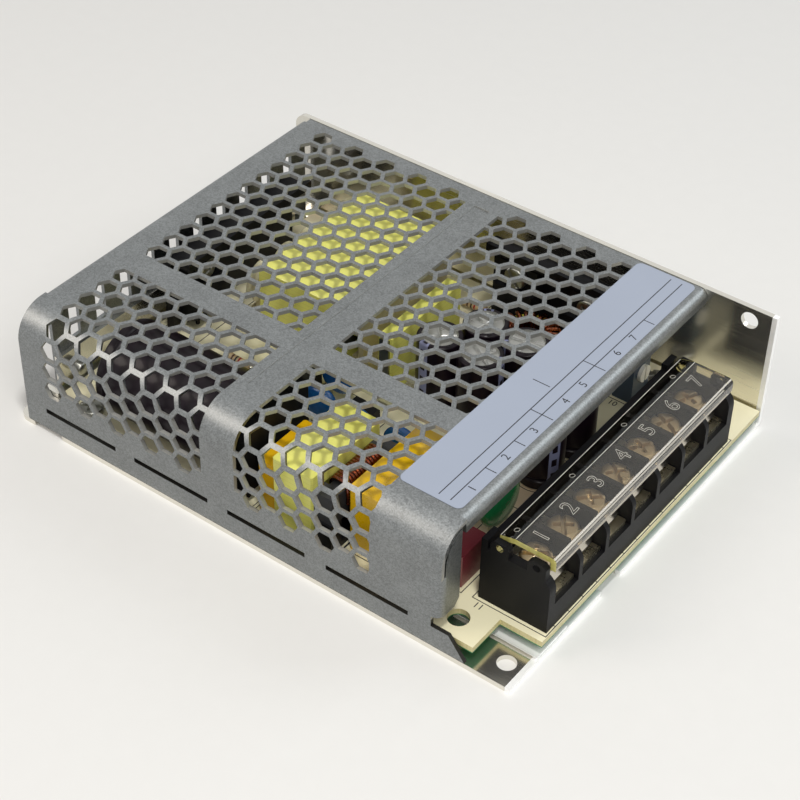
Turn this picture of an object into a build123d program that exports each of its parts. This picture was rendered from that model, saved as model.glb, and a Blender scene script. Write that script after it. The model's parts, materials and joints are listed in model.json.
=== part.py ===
from build123d import *
import math
import os

# Open mesh case switching power supply.
# Everything is laid out in millimetres from the case's rear near bottom corner:
# x runs from the closed rear end to the terminal end, y from the cover's side to the
# chassis wall, z up. Each piece is moved to the middle of the case when it is written.

# Case
case_length = 129.0
case_width = 97.0
case_height = 30.0
fit = 0.1                       # gap between sheets that lie on each other
hair = 0.01                     # tells a touching hexagon from a clear one
over = 1.0                      # how far a cut runs past the piece that it cuts
bar_sides = 8                   # sides of small shanks, bores and moulded rods
head_sides = 12                 # sides of small screw heads

# Chassis: one folded sheet with a bottom plate, a far wall and a low rear flange
chassis_sheet = 1.2
chassis_bend = 2.0              # outer bend radius
rear_flange_height = 13.0
ear_width = 8.0                 # ears of the plate beside the rear flange
ear_corner = 2.6
upstand_start = 5.6             # near upstand behind the cover's side
upstand_length = 6.8
upstand_height = 12.0
upstand_relief = 0.6
wall_corner = 3.0
front_notch_at = 35.5
front_notch_width = 7.0
front_notch_depth = 2.0
mount_hole = 4.0                # diameter of both fixing holes
plate_hole_from_front = 4.2
plate_hole_from_side = 5.2
wall_hole_from_front = 6.1
wall_hole_from_top = 3.2

# Cover: one folded and punched sheet
cover_sheet = 0.9
label_thickness = 0.1
cover_rear_gap = 3.0            # from the case's rear end to the cover's rear face
terminal_bay = 16.5             # from the cover's front face to the case's front end
cover_bend = 7.5                # outer radius of the long bend into the side
cover_small_bend = 1.5          # outer radius of the rear bend
cover_lip_bend = 2.0            # outer radius of the front bends
cover_lip_height = 3.4
cover_bottom_gap = 0.1          # between the side's lower edge and the plate
rear_corner_relief = 1.5
side_rear_step = 0.3
side_flange_width = 6.3
side_flange_bottom = 9.0
side_flange_free = 2.9          # below the long bend the side flange stands free of the side
side_flange_chamfer = 1.5
flange_slit = 0.5
toe_length = 6.0
toe_height = 6.4
toe_slope = 3.9
groove_width = 4.0              # pressed groove on the cross rib
groove_depth = 0.25
groove_margin = 5.0

# Mesh of hexagons, laid out on the sheet before it is folded
hex_flats = 4.3
hex_row_pitch = 5.2
hex_column_pitch = 4.55
hex_first_column = 12.0
hex_first_row_from_far = 4.7
hex_side_margin = 3.8           # from the long slots to the lowest hexagons
cross_rib_start = 53.3
cross_rib_width = 8.7
long_rib_start = 25.2
long_rib_width = 6.2

# Long slots low in the side
side_slot_length = 20.0
side_slot_height = 1.2
side_slot_front_margin = 7.4    # from the last slot to the cover's front face
side_slot_first = 9.2
side_slot_level = 6.4
side_slot_count = 4

# Vent slots in the cover's rear flange
vent_slot_width = 3.0
vent_slot_pitch = 8.0
vent_slot_margin = 8.0
vent_slot_low = 14.5
vent_slot_high = 25.0

# Label on the cover
label_width = 14.4
label_front_margin = 2.4
label_near_margin = 8.6
label_far_margin = 1.7

# Circuit board
board_thickness = 1.6
board_lift = 2.4                # from the plate to the board
board_side_gap = 0.4
board_rear_gap = 1.5
board_far_gap = 0.6
tab_cut_length = 9.6            # front near corner that is cut away
tab_cut_width = 10.5
tab_hole = 4.6
tab_hole_from_front = 16.2
tab_hole_from_side = 6.0
notch_gap = 0.8
insulation_thickness = 0.3
insulation_margin = 6.0

# Screws of the case and the board
screw_size = 3.0
screw_head = 5.4
screw_head_height = 1.7
thread_gap = 0.05               # a screw beside its threaded hole
clearance_gap = 0.15            # a screw beside its plain hole
standoff_diameter = 5.6
board_screw_rear = 15.8
board_screw_from_front = 6.5    # behind the cover's front face
board_screw_edge = 5.4
cover_screw_length = 5.0
cover_screw_level = 8.6
cover_screw_from_side = 13.0

# Terminal block
station_count = 7
station_pitch = 9.5
barrier_thickness = 1.3
end_wall = 2.15
block_depth = 15.8
block_front_gap = 0.6           # from the block's front to the case's front end
block_start = 12.8
block_floor = 6.3               # above the board
block_barrier = 13.7            # top of the barriers above the board
block_rear_wall = 1.4
block_rear_height = 14.4
block_nose = 3.2                # radius of the barriers' front top corners
post_length = 4.0
post_height = 16.0              # top of the end posts above the board, clear of the open lid
lug_thickness = 1.5
lug_height = 16.7               # top of the lugs above the board
lug_width = 4.2
lug_rear_offset = 2.0
lug_front_offset = 1.3
pin_radius = 0.8
pin_gap = 0.05                  # running gap of the lid's pins
pin_offset = 4.1                # from the block's rear face
pin_level = 15.4                # above the board

# Terminal metalwork
contact_thickness = 1.0
contact_side_gap = 0.2
contact_front_gap = 1.0
contact_tail_width = 2.4
contact_tail_at = 3.6           # from the rear wall's inner face
tail_gap = 0.1
tail_reach = 1.0                # below the board
clamp_thickness = 1.1
clamp_gap = 1.3                 # room for a wire end under the clamp
clamp_side_gap = 0.5
clamp_length = 9.6
clamp_lip = 1.0
terminal_screw = 3.5
terminal_screw_head = 6.6
terminal_screw_head_height = 2.2
terminal_screw_depth = 4.0
screw_from_rear = 8.3

# Clear lid of the terminal block
lid_thickness = 1.2
lid_gap = 0.15                  # beside each lug
lid_top = 18.1                  # above the board
lid_rear_offset = 3.0           # from the block's rear face
lid_slope_length = 3.4
lid_slope_drop = 0.9
lid_front_offset = 0.2          # inside the block's front face
lid_curl = 3.0
lid_corner = 1.1
ear_thickness = 1.2
ear_radius = 1.1

# Transformer
transformer_start = 27.0
transformer_near = 49.5
core_length = 24.0
core_width = 36.0
core_height = 15.0
core_leg = 6.0
core_inset = 3.0                # the core's middle from the winding's ends
winding_wall = 2.0
tape_thickness = 0.5
tape_start = 0.6
bobbin_rail = 4.6
bobbin_wall = 1.4
bobbin_rise = 9.0
bobbin_foot = 1.4
bobbin_inset = 2.5
bobbin_pin = 0.9
bobbin_pin_count = 6

# Round capacitors
bulk_to_cover = 2.7             # from the large can to the cover
bulk_length = 31.0
bulk_start = 20.5
bulk_near = 4.0
output_diameter = 10.0
output_to_cover = 3.3
output_pitch = 10.4
output_first = 73.6
output_from_ring = 22.9         # from the ring's middle to the nearer row
output_row = 9.3
output_stagger = 5.2
front_capacitor_from_front = 9.9
front_capacitor_near = 49.0
front_capacitor_pitch = 12.0
lead_radius = 0.4
lead_run = 1.8                  # from a lying can's end to its bent leads
lead_spread = 5.0
body_gap = 0.1                  # small gap under a body that stands on the board

# Line choke
choke_start = 69.0
choke_near = 4.6
choke_length = 21.0
choke_width = 14.2
choke_leg = 3.4
choke_core_height = 7.0
choke_core_lift = 7.4
choke_sleeve_width = 10.1
choke_sleeve_height = 17.8
choke_coil_thickness = 0.9
choke_coil_rise = 2.0
choke_coil_margin = 0.4
choke_base_height = 1.5

# Film and disc capacitors, varistor and fuse
x_capacitor_size = (8.2, 23.0, 16.6)
x_capacitor_at = (84.6, 8.0)
small_x_size = (4.4, 15.0, 14.0)
small_x_at = (63.6, 5.4)
box_round = 0.8                 # corner cut of moulded boxes
disc_radius = 4.4
disc_thickness = 3.6
disc_lift = 1.6
disc_places = [(57.0, 33.5), (67.2, 33.0), (78.4, 33.5), (54.6, 43.0)]
varistor_radius = 6.0
varistor_thickness = 4.2
varistor_from_front = 7.9       # behind the cover's front face
varistor_near = 31.0
fuse_size = (4.2, 8.6, 8.2)
fuse_from_front = 8.1
fuse_near = 12.4

# Rectifiers, transistor and their heatsinks
heatsink_plate = 2.0
heatsink_bend = 3.0             # outer bend radius
heatsink_to_cover = 2.8
primary_sink_at = 9.4
primary_sink_near = 38.0
primary_sink_length = 42.0
primary_sink_flange = 8.0
output_sink_from_far = 6.6
output_sink_start = 63.0
output_sink_length = 36.0
output_sink_flange = 3.6
package_width = 10.2
package_height = 14.6
package_depth = 4.4
package_tab_depth = 2.6         # thinner part under the screw
package_tab_low = 8.8
package_lift = 3.2
package_lead = 0.7
package_lead_pitch = 2.54
transistor_from_end = 8.0
output_rectifier_offset = 8.0
output_rectifier_pitch = 19.0
bridge_size = (3.6, 20.0, 17.0)
bridge_at = (57.6, 4.6)
sink_screw_rise = 11.6

# Shielded bar beside the transformer and output choke
bar_size = (2.4, 26.0, 15.0)
bar_at = (62.6, 46.5)
bar_foot = 3.0
bar_tape = 0.6
ring_radius = 7.9
ring_hole = 3.2
ring_height = 11.0
ring_x = 81.0
ring_from_far = 19.3            # from the board's far edge to the ring's middle
ring_coil_thickness = 1.3
ring_lift = 1.8
ring_sides = 16

# Small parts
coupler_size = (6.4, 4.6, 3.6)
coupler_place = (60.4, 37.0)
far_coupler_x = 66.0
far_coupler_from_far = 16.2
controller_size = (6.4, 9.6, 3.4)
controller_at = (43.0, 34.0)
resistor_radius = 1.2
resistor_length = 6.4
resistor_places = [(31.0, 32.6), (31.0, 37.4), (88.0, 38.4), (94.4, 42.0)]
far_resistor_x = 60.2
far_resistor_from_far = 9.2

# Trimmer for the output voltage
trimmer_size = (4.8, 6.8, 10.0)
trimmer_front_from_bay = 6.8    # behind the cover's front face
trimmer_from_wall = 12.4
rotor_radius = 2.0
rotor_face = 0.9
rotor_stem_radius = 1.2
rotor_stem = 2.6
rotor_gap = 0.05
rotor_rise = 6.8
rotor_slot_width = 0.6
rotor_slot_depth = 0.5

# Levels and faces that follow from the sizes above
wall_face = case_width - chassis_sheet
cover_top = case_height - label_thickness
cover_far = wall_face - fit
cover_front = case_length - terminal_bay
plate_top = chassis_sheet
board_bottom = plate_top + board_lift
board_top = board_bottom + board_thickness
flange_rear = cover_rear_gap + cover_sheet + fit
flange_face = flange_rear + chassis_sheet
upstand_near = cover_sheet + fit
board_near = cover_sheet + board_side_gap
board_far = wall_face - board_far_gap
board_rear = flange_face + board_rear_gap
bend_centre_y = cover_bend
bend_centre_z = cover_top - cover_bend
bend_neutral = cover_bend - cover_sheet / 2
bend_run = bend_neutral * math.pi / 2
side_flange_split = bend_centre_z - side_flange_free
label_start = cover_front - label_front_margin - label_width
room_height = cover_top - cover_sheet - board_top
bulk_diameter = room_height - bulk_to_cover - body_gap
output_height = room_height - output_to_cover
heatsink_height = room_height - heatsink_to_cover
ring_at = (ring_x, board_far - ring_from_far)
block_front = case_length - block_front_gap
block_rear = block_front - block_depth
block_length = station_count * station_pitch - barrier_thickness + 2 * end_wall
block_far = block_start + block_length
floor_level = board_top + block_floor
pin_x = block_rear + pin_offset
pin_z = board_top + pin_level
contact_top = floor_level + contact_thickness
clamp_bottom = contact_top + clamp_gap
clamp_top = clamp_bottom + clamp_thickness


def block(x0, x1, y0, y1, z0, z1):
    """Box between two corners."""
    middle = Pos((x0 + x1) / 2, (y0 + y1) / 2, (z0 + z1) / 2)
    return middle * Box(x1 - x0, y1 - y0, z1 - z0)


def rod_x(y, z, x0, x1, radius):
    """Round bar along x."""
    return Pos((x0 + x1) / 2, y, z) * Rot(0, 90, 0) * Cylinder(radius, x1 - x0)


def rod_y(x, z, y0, y1, radius):
    """Round bar along y."""
    return Pos(x, (y0 + y1) / 2, z) * Rot(90, 0, 0) * Cylinder(radius, y1 - y0)


def rod_z(x, y, z0, z1, radius):
    """Round bar along z."""
    return Pos(x, y, (z0 + z1) / 2) * Cylinder(radius, z1 - z0)


def bar_x(y, z, x0, x1, radius, sides=bar_sides):
    """Flat-sided bar along x."""
    return prism_x(Pos(y, z) * RegularPolygon(radius, sides), x0, x1)


def bar_y(x, z, y0, y1, radius, sides=bar_sides):
    """Flat-sided bar along y."""
    return prism_y(Pos(x, z) * RegularPolygon(radius, sides), y0, y1)


def bar_z(x, y, z0, z1, radius, sides=bar_sides):
    """Flat-sided bar along z."""
    return prism_z(Pos(x, y) * RegularPolygon(radius, sides), z0, z1)


def section_x(x0):
    """Plane across x: its own axes are y and z, and it extrudes towards +x."""
    return Plane(origin=(x0, 0, 0), x_dir=(0, 1, 0), z_dir=(1, 0, 0))


def section_y(y0):
    """Plane across y: its own axes are x and z, and it extrudes towards -y."""
    return Plane(origin=(0, y0, 0), x_dir=(1, 0, 0), z_dir=(0, -1, 0))


def prism_x(face, x0, x1):
    """Flat shape in y and z, drawn out along x."""
    return extrude(section_x(x0) * face, x1 - x0, dir=(1, 0, 0))


def prism_y(face, y0, y1):
    """Flat shape in x and z, drawn out along y."""
    return extrude(section_y(y1) * face, y1 - y0, dir=(0, -1, 0))


def prism_z(face, z0, z1):
    """Flat shape in x and y, drawn out along z."""
    return extrude(Pos(0, 0, z0) * face, z1 - z0, dir=(0, 0, 1))


def polygon(points):
    """Flat face inside a closed run of points."""
    return make_face(Polyline(*points, close=True))


def folded(outer, inner, radius, thickness):
    """Section of a folded sheet: its outer line, its inner line and one bend between them."""
    outside = FilletPolyline(*outer, radius=radius)
    inside = FilletPolyline(*inner, radius=radius - thickness)
    ends = [Line(outer[0], inner[0]), Line(outer[-1], inner[-1])]
    return make_face(outside.edges() + inside.edges() + ends)


def corner_waste(x, z, radius, to_x, to_z, y0, y1):
    """What is taken off to round a corner at (x, z) of a wall that lies across y."""
    far_x = x + to_x * radius
    far_z = z + to_z * radius
    waste = block(min(x, far_x), max(x, far_x), y0, y1, min(z, far_z), max(z, far_z))
    return waste - rod_y(far_x, far_z, y0, y1, radius)


def write(shape, name):
    """Moves a piece to the middle of the case and writes it."""
    placed = Pos(-case_length / 2, -case_width / 2, 0) * shape
    export_step(placed, "parts/" + name + ".step")


# Chassis
def chassis_plate_and_wall():
    """Bottom plate and far wall with the bend between them."""
    outer = [(0, 0), (case_width, 0), (case_width, case_height)]
    inner = [(0, chassis_sheet), (wall_face, chassis_sheet), (wall_face, case_height)]
    return prism_x(folded(outer, inner, chassis_bend, chassis_sheet), 0, case_length)


def chassis_rear_flange():
    """Low flange folded up along the rear end."""
    run = flange_rear + chassis_bend + over
    outer = [(run, 0), (flange_rear, 0), (flange_rear, rear_flange_height)]
    inner = [(run, chassis_sheet), (flange_face, chassis_sheet), (flange_face, rear_flange_height)]
    section = folded(outer, inner, chassis_bend, chassis_sheet)
    return prism_y(section, ear_width + upstand_relief, case_width - ear_width - upstand_relief)


def chassis_upstand():
    """Short upstand folded up behind the cover's side."""
    run = upstand_near + chassis_bend + over
    face = upstand_near + chassis_sheet
    outer = [(run, 0), (upstand_near, 0), (upstand_near, upstand_height)]
    inner = [(run, chassis_sheet), (face, chassis_sheet), (face, upstand_height)]
    section = folded(outer, inner, chassis_bend, chassis_sheet)
    return prism_x(section, upstand_start, upstand_start + upstand_length)


def chassis():
    """Folded chassis sheet with its notches and fixing holes."""
    body = chassis_plate_and_wall()
    low = -over
    high = chassis_sheet + over
    rear_edge = flange_rear + chassis_bend
    body -= block(low, rear_edge, ear_width, case_width - ear_width, low, high)
    notch_end = upstand_start + upstand_length + upstand_relief
    notch_start = upstand_start - upstand_relief
    body -= block(notch_start, notch_end, low, upstand_near + chassis_bend, low, high)
    body += chassis_rear_flange()
    body += chassis_upstand()
    ear = block(0, ear_corner, 0, ear_corner, low, high)
    body -= ear - rod_z(ear_corner, ear_corner, low, high, ear_corner)
    body -= corner_waste(0, case_height, wall_corner, 1, -1, case_width / 2, case_width + over)
    notch_x = case_length - front_notch_depth
    half = front_notch_width / 2
    body -= block(notch_x, case_length + over, front_notch_at - half, front_notch_at + half, low, high)
    hole_x = case_length - plate_hole_from_front
    body -= rod_z(hole_x, plate_hole_from_side, low, high, mount_hole / 2)
    wall_x = case_length - wall_hole_from_front
    wall_z = case_height - wall_hole_from_top
    body -= rod_y(wall_x, wall_z, wall_face - over, case_width + over, mount_hole / 2)
    thread = screw_size / 2 + thread_gap
    for y in cover_screw_places():
        body -= bar_x(y, cover_screw_level, flange_rear - over, flange_face + over, thread)
    return body


# Mesh cover
def hexagon(x, y):
    """Corners of one hexagon with two points along x."""
    half = hex_flats / 2
    point = hex_flats / math.sqrt(3)
    side = point / 2
    return [(x + point, y), (x + side, y + half), (x - side, y + half),
            (x - point, y), (x - side, y - half), (x + side, y - half)]


def clip(points, axis, limit, keep):
    """Part of a convex outline where keep times a coordinate is no more than keep times a limit."""
    kept = []
    for here, there in zip(points, points[1:] + points[:1]):
        a = keep * (limit - here[axis])
        b = keep * (limit - there[axis])
        if a >= 0:
            kept.append(here)
        if a * b < 0:
            share = a / (a - b)
            kept.append(tuple(p + (q - p) * share for p, q in zip(here, there)))
    return kept


def clipped(points, low_x, high_x, low_y, high_y):
    """Part of a convex outline inside a rectangle."""
    for axis, limit, keep in ((0, low_x, -1), (0, high_x, 1), (1, low_y, -1), (1, high_y, 1)):
        points = clip(points, axis, limit, keep)
        if len(points) < 3:
            return []
    return points


def wide_enough(points):
    """True for a piece of a hexagon that is worth a hole."""
    reach_x = max(p[0] for p in points) - min(p[0] for p in points)
    reach_y = max(p[1] for p in points) - min(p[1] for p in points)
    return min(reach_x, reach_y) > hex_flats / 5


def hexagon_cells():
    """Every hexagon on the flat sheet, cut straight at the ribs and the label.

    The second coordinate is y on the top, and runs on below zero bend over the side.
    """
    cells = []
    rib_end = cross_rib_start + cross_rib_width
    panels_x = [(cover_rear_gap, cross_rib_start), (rib_end, label_start)]
    long_end = long_rib_start + long_rib_width
    panels_y = [(-case_height, long_rib_start), (long_end, cover_far)]
    point = hex_flats / math.sqrt(3)
    columns = int((label_start + point - hex_first_column) / hex_column_pitch) + 1
    for column in range(columns):
        x = hex_first_column + column * hex_column_pitch
        first = cover_far - hex_first_row_from_far - column % 2 * hex_row_pitch / 2
        rows = int((first - lowest_hexagon()) / hex_row_pitch) + 1
        for row in range(rows):
            y = first - row * hex_row_pitch
            for low_x, high_x in panels_x:
                for low_y, high_y in panels_y:
                    cell = clipped(hexagon(x, y), low_x, high_x, low_y, high_y)
                    if cell and wide_enough(cell):
                        cells.append(((x, y), cell))
    return cells


def lowest_hexagon():
    """Lowest place on the flat sheet for a hexagon's middle, clear of the side's long slots."""
    level = side_slot_level + side_slot_height / 2 + hex_side_margin + hex_flats / 2
    return side_start() - (bend_centre_z - level)


def side_start():
    """Place on the flat sheet where the side begins below the long bend."""
    return cover_bend - bend_run


def on_top(cell):
    """True where a whole hexagon lies on the flat top."""
    return min(p[1] for p in cell) > cover_bend + hair


def on_side(cell):
    """True where a whole hexagon lies on the flat side."""
    return max(p[1] for p in cell) < side_start() - hair


def bend_cutter(centre, cell):
    """Punch for a hexagon that touches the long bend, square to the sheet at its centre."""
    run = min(max(cover_bend - centre[1], 0), bend_run)
    angle = run / bend_neutral
    flat = centre[1] + run
    beyond = flat - cover_bend
    sideways = Vector(0, math.cos(angle), math.sin(angle))
    outwards = Vector(0, -math.sin(angle), math.cos(angle))
    middle = Vector(0, bend_centre_y, bend_centre_z) + outwards * (cover_bend + over) + sideways * beyond
    frame = Plane(origin=middle, x_dir=(1, 0, 0), z_dir=outwards)
    shape = polygon([(p[0], p[1] - centre[1]) for p in cell])
    return extrude(frame * shape, -(cover_sheet + 2 * over))


def cover_top_sheet(cells):
    """Flat top with its whole hexagons."""
    rear = cover_rear_gap + cover_small_bend
    side_rear = cover_rear_gap + side_rear_step
    front = cover_front - cover_lip_bend
    step = cover_bend + rear_corner_relief
    outline = [(side_rear, cover_bend), (side_rear, step), (rear, step), (rear, cover_far),
               (front, cover_far), (front, cover_bend)]
    holes = [Wire.make_polygon(cell, close=True) for centre, cell in cells if on_top(cell)]
    face = Face(Wire.make_polygon(outline, close=True), holes)
    return prism_z(face, cover_top - cover_sheet, cover_top)


def side_level(y):
    """Height on the side of a place on the flat sheet."""
    return bend_centre_z - (side_start() - y)


def side_slot_wires():
    """Outlines of the long slots low in the side."""
    wires = []
    last = cover_front - side_slot_front_margin - side_slot_length
    pitch = (last - side_slot_first) / (side_slot_count - 1)
    for number in range(side_slot_count):
        x = side_slot_first + number * pitch + side_slot_length / 2
        slot = Pos(x, side_slot_level) * Rectangle(side_slot_length, side_slot_height)
        wires.append(slot.faces()[0].outer_wire())
    return wires


def cover_side_sheet(cells):
    """Flat side with its toe, whole hexagons and long slots."""
    rear = cover_rear_gap + side_rear_step
    low = plate_top + cover_bottom_gap
    edge = cover_front - cover_lip_bend
    toe = cover_front + toe_length
    outline = [(rear, low), (toe, low), (toe - toe_slope, toe_height), (edge, toe_height),
               (edge, side_flange_split), (cover_front, side_flange_split),
               (cover_front, bend_centre_z), (rear, bend_centre_z)]
    holes = []
    for centre, cell in cells:
        if on_side(cell):
            holes.append(Wire.make_polygon([(p[0], side_level(p[1])) for p in cell], close=True))
    face = Face(Wire.make_polygon(outline, close=True), holes + side_slot_wires())
    return prism_y(face, 0, cover_sheet)


def cover_long_bend():
    """Quarter round between the top and the side."""
    centre = Pos(bend_centre_y, bend_centre_z)
    quarter = Circle(cover_bend) - Circle(cover_bend - cover_sheet)
    quarter &= Pos(-cover_bend / 2, cover_bend / 2) * Rectangle(cover_bend, cover_bend)
    return prism_x(centre * quarter, cover_rear_gap + side_rear_step, cover_front)


def cover_front_lip():
    """Lip folded down along the top's front edge."""
    run = cover_front - cover_lip_bend
    under = cover_top - cover_sheet
    low = cover_top - cover_lip_height
    outer = [(run - over, cover_top), (cover_front, cover_top), (cover_front, low)]
    inside = cover_front - cover_sheet
    inner = [(run - over, under), (inside, under), (inside, low)]
    section = folded(outer, inner, cover_lip_bend, cover_sheet)
    return prism_y(section, cover_bend, cover_far)


def cover_screw_places():
    """Where the cover's screws stand across the rear."""
    return [cover_screw_from_side, case_width - cover_screw_from_side]


def cover_rear_flange():
    """Flange folded down at the rear, with its vent slots and screw holes."""
    run = cover_rear_gap + cover_small_bend + over
    under = cover_top - cover_sheet
    low = plate_top + cover_bottom_gap
    inside = cover_rear_gap + cover_sheet
    outer = [(run, cover_top), (cover_rear_gap, cover_top), (cover_rear_gap, low)]
    inner = [(run, under), (inside, under), (inside, low)]
    section = folded(outer, inner, cover_small_bend, cover_sheet)
    flange = prism_y(section, cover_bend + rear_corner_relief, cover_far - rear_corner_relief)
    middle = (cover_bend + cover_far) / 2
    half = vent_slot_width / 2
    count = int((cover_far - cover_bend - 2 * vent_slot_margin) / vent_slot_pitch) + 1
    start = cover_rear_gap - over
    end = inside + over
    for number in range(count):
        y = middle + (number - (count - 1) / 2) * vent_slot_pitch
        flange -= block(start, end, y - half, y + half, vent_slot_low, vent_slot_high)
    for y in cover_screw_places():
        flange -= bar_x(y, cover_screw_level, start, end, screw_size / 2 + clearance_gap)
    return flange


def cover_side_flange():
    """Flange folded inwards at the front of the side, free of the sheet near its top."""
    edge = cover_front - cover_lip_bend
    inside = cover_front - cover_sheet
    outer = [(edge - over, 0), (cover_front, 0), (cover_front, cover_lip_bend + over)]
    inner = [(edge - over, cover_sheet), (inside, cover_sheet), (inside, cover_lip_bend + over)]
    fold = prism_z(folded(outer, inner, cover_lip_bend, cover_sheet), side_flange_bottom, side_flange_split)
    round_radius = cover_bend - cover_sheet - flange_slit
    inner_y = bend_centre_y - round_radius
    across = bend_centre_y - side_flange_width
    shoulder = bend_centre_z + math.sqrt(round_radius ** 2 - across ** 2)
    half_way = math.radians(180) - math.acos(across / round_radius) / 2
    middle = (bend_centre_y + round_radius * math.cos(half_way),
              bend_centre_z + round_radius * math.sin(half_way))
    foot = (side_flange_width - side_flange_chamfer, side_flange_bottom)
    outline = [
        Line((cover_lip_bend, side_flange_bottom), foot),
        Line(foot, (side_flange_width, side_flange_bottom + side_flange_chamfer)),
        Line((side_flange_width, side_flange_bottom + side_flange_chamfer), (side_flange_width, shoulder)),
        ThreePointArc((side_flange_width, shoulder), middle, (inner_y, bend_centre_z)),
        Line((inner_y, bend_centre_z), (inner_y, side_flange_split)),
        Line((inner_y, side_flange_split), (cover_lip_bend, side_flange_split)),
        Line((cover_lip_bend, side_flange_split), (cover_lip_bend, side_flange_bottom)),
    ]
    return fold + prism_x(make_face(outline), inside, cover_front)


def cover_groove():
    """Shallow pressed groove along the cross rib."""
    x = cross_rib_start + cross_rib_width / 2
    low = cover_bend + groove_margin
    high = cover_far - groove_margin
    half = groove_width / 2
    return block(x - half, x + half, low, high, cover_top - groove_depth, cover_top + over)


def cover():
    """Folded mesh cover as one sheet."""
    cells = hexagon_cells()
    body = cover_long_bend()
    punches = [bend_cutter(centre, cell) for centre, cell in cells if not on_top(cell) and not on_side(cell)]
    body += [cover_top_sheet(cells), cover_side_sheet(cells)]
    body -= punches
    body += [cover_front_lip(), cover_rear_flange(), cover_side_flange()]
    body -= cover_groove()
    return body


def label():
    """Thin label on the cover's top beside the terminals."""
    end = label_start + label_width
    return block(label_start, end, label_near_margin, case_width - label_far_margin, cover_top, case_height)


# Board
def board_screw_places():
    """Four places where the board is screwed down."""
    near = board_near + board_screw_edge
    far = board_far - board_screw_edge
    front = cover_front - board_screw_from_front
    return [(x, y) for x in (board_screw_rear, front) for y in (near, far)]


def board():
    """Circuit board with its cut corners, tab hole and screw holes."""
    notch_x = upstand_start + upstand_length + notch_gap
    notch_y = upstand_near + chassis_sheet + notch_gap
    tab_x = case_length - tab_cut_length
    outline = [(board_rear, notch_y), (notch_x, notch_y), (notch_x, board_near), (tab_x, board_near),
               (tab_x, tab_cut_width), (case_length, tab_cut_width), (case_length, board_far),
               (board_rear, board_far)]
    body = prism_z(polygon(outline), board_bottom, board_top)
    hole_x = case_length - tab_hole_from_front
    low = board_bottom - over
    high = board_top + over
    body -= rod_z(hole_x, tab_hole_from_side, low, high, tab_hole / 2)
    for x, y in board_screw_places():
        body -= bar_z(x, y, low, high, screw_size / 2 + clearance_gap)
    for y in station_places():
        body -= tail_slot(y, low, high)
    return body


def insulation_sheet():
    """Thin insulating sheet under the board, clear of the standoffs."""
    sheet = block(board_rear, cover_front - insulation_margin, board_near + insulation_margin / 2,
                  board_far - insulation_margin / 6, plate_top, plate_top + insulation_thickness)
    for x, y in board_screw_places():
        sheet -= bar_z(x, y, 0, board_bottom, standoff_diameter / 2 + notch_gap)
    return sheet


def standoffs():
    """Four threaded hexagonal standoffs pressed into the plate."""
    pieces = []
    for x, y in board_screw_places():
        piece = bar_z(x, y, plate_top, board_bottom, standoff_diameter / 2, 6)
        pieces.append(piece - bar_z(x, y, 0, board_top, screw_size / 2 + thread_gap))
    return pieces


def board_screws():
    """Pan head screws that hold the board on its standoffs."""
    pieces = []
    for x, y in board_screw_places():
        head = bar_z(x, y, board_top, board_top + screw_head_height, screw_head / 2, head_sides)
        pieces.append(head + bar_z(x, y, plate_top + thread_gap, board_top, screw_size / 2))
    return pieces


def cover_screws():
    """Pan head screws that hold the cover at the rear."""
    pieces = []
    for y in cover_screw_places():
        outside = cover_rear_gap - screw_head_height
        head = bar_x(y, cover_screw_level, outside, cover_rear_gap, screw_head / 2, head_sides)
        end = cover_rear_gap + cover_screw_length
        pieces.append(head + bar_x(y, cover_screw_level, cover_rear_gap, end, screw_size / 2))
    return pieces


# Terminal block
def station_places():
    """Middle of each terminal along y."""
    first = block_start + end_wall + (station_pitch - barrier_thickness) / 2
    return [first + number * station_pitch for number in range(station_count)]


def tail_slot(y, z0, z1):
    """Way through for one contact's tail."""
    x = block_rear + block_rear_wall + contact_tail_at
    half = contact_tail_width / 2 + tail_gap
    return block(x - tail_gap, x + contact_thickness + tail_gap, y - half, y + half, z0, z1)


def barrier_section():
    """Side view of a barrier, with its rounded front top corner."""
    top = board_top + block_barrier
    nose_x = block_front - block_nose
    nose_z = top - block_nose
    half = block_nose * math.sqrt(0.5)
    outline = [
        Line((block_rear, board_top), (block_front, board_top)),
        Line((block_front, board_top), (block_front, nose_z)),
        ThreePointArc((block_front, nose_z), (nose_x + half, nose_z + half), (nose_x, top)),
        Line((nose_x, top), (block_rear, top)),
        Line((block_rear, top), (block_rear, board_top)),
    ]
    return make_face(outline)


def lug_section(x0, x1):
    """Side view of a lug with its two upper corners cut off."""
    low = board_top + block_barrier - over
    top = board_top + lug_height
    cut = lug_width / 5
    return polygon([(x0, low), (x1, low), (x1, top - cut), (x1 - cut, top), (x0 + cut, top),
                    (x0, top - cut)])


def lug_spans():
    """Where the rear and the front lug lie along x."""
    rear = block_rear + lug_rear_offset
    front = block_front - lug_front_offset
    return [(rear, rear + lug_width), (front - lug_width, front)]


def front_pin_x():
    """Middle of the spare pin hole in the front lug."""
    return block_front - lug_front_offset - lug_width / 2


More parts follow.
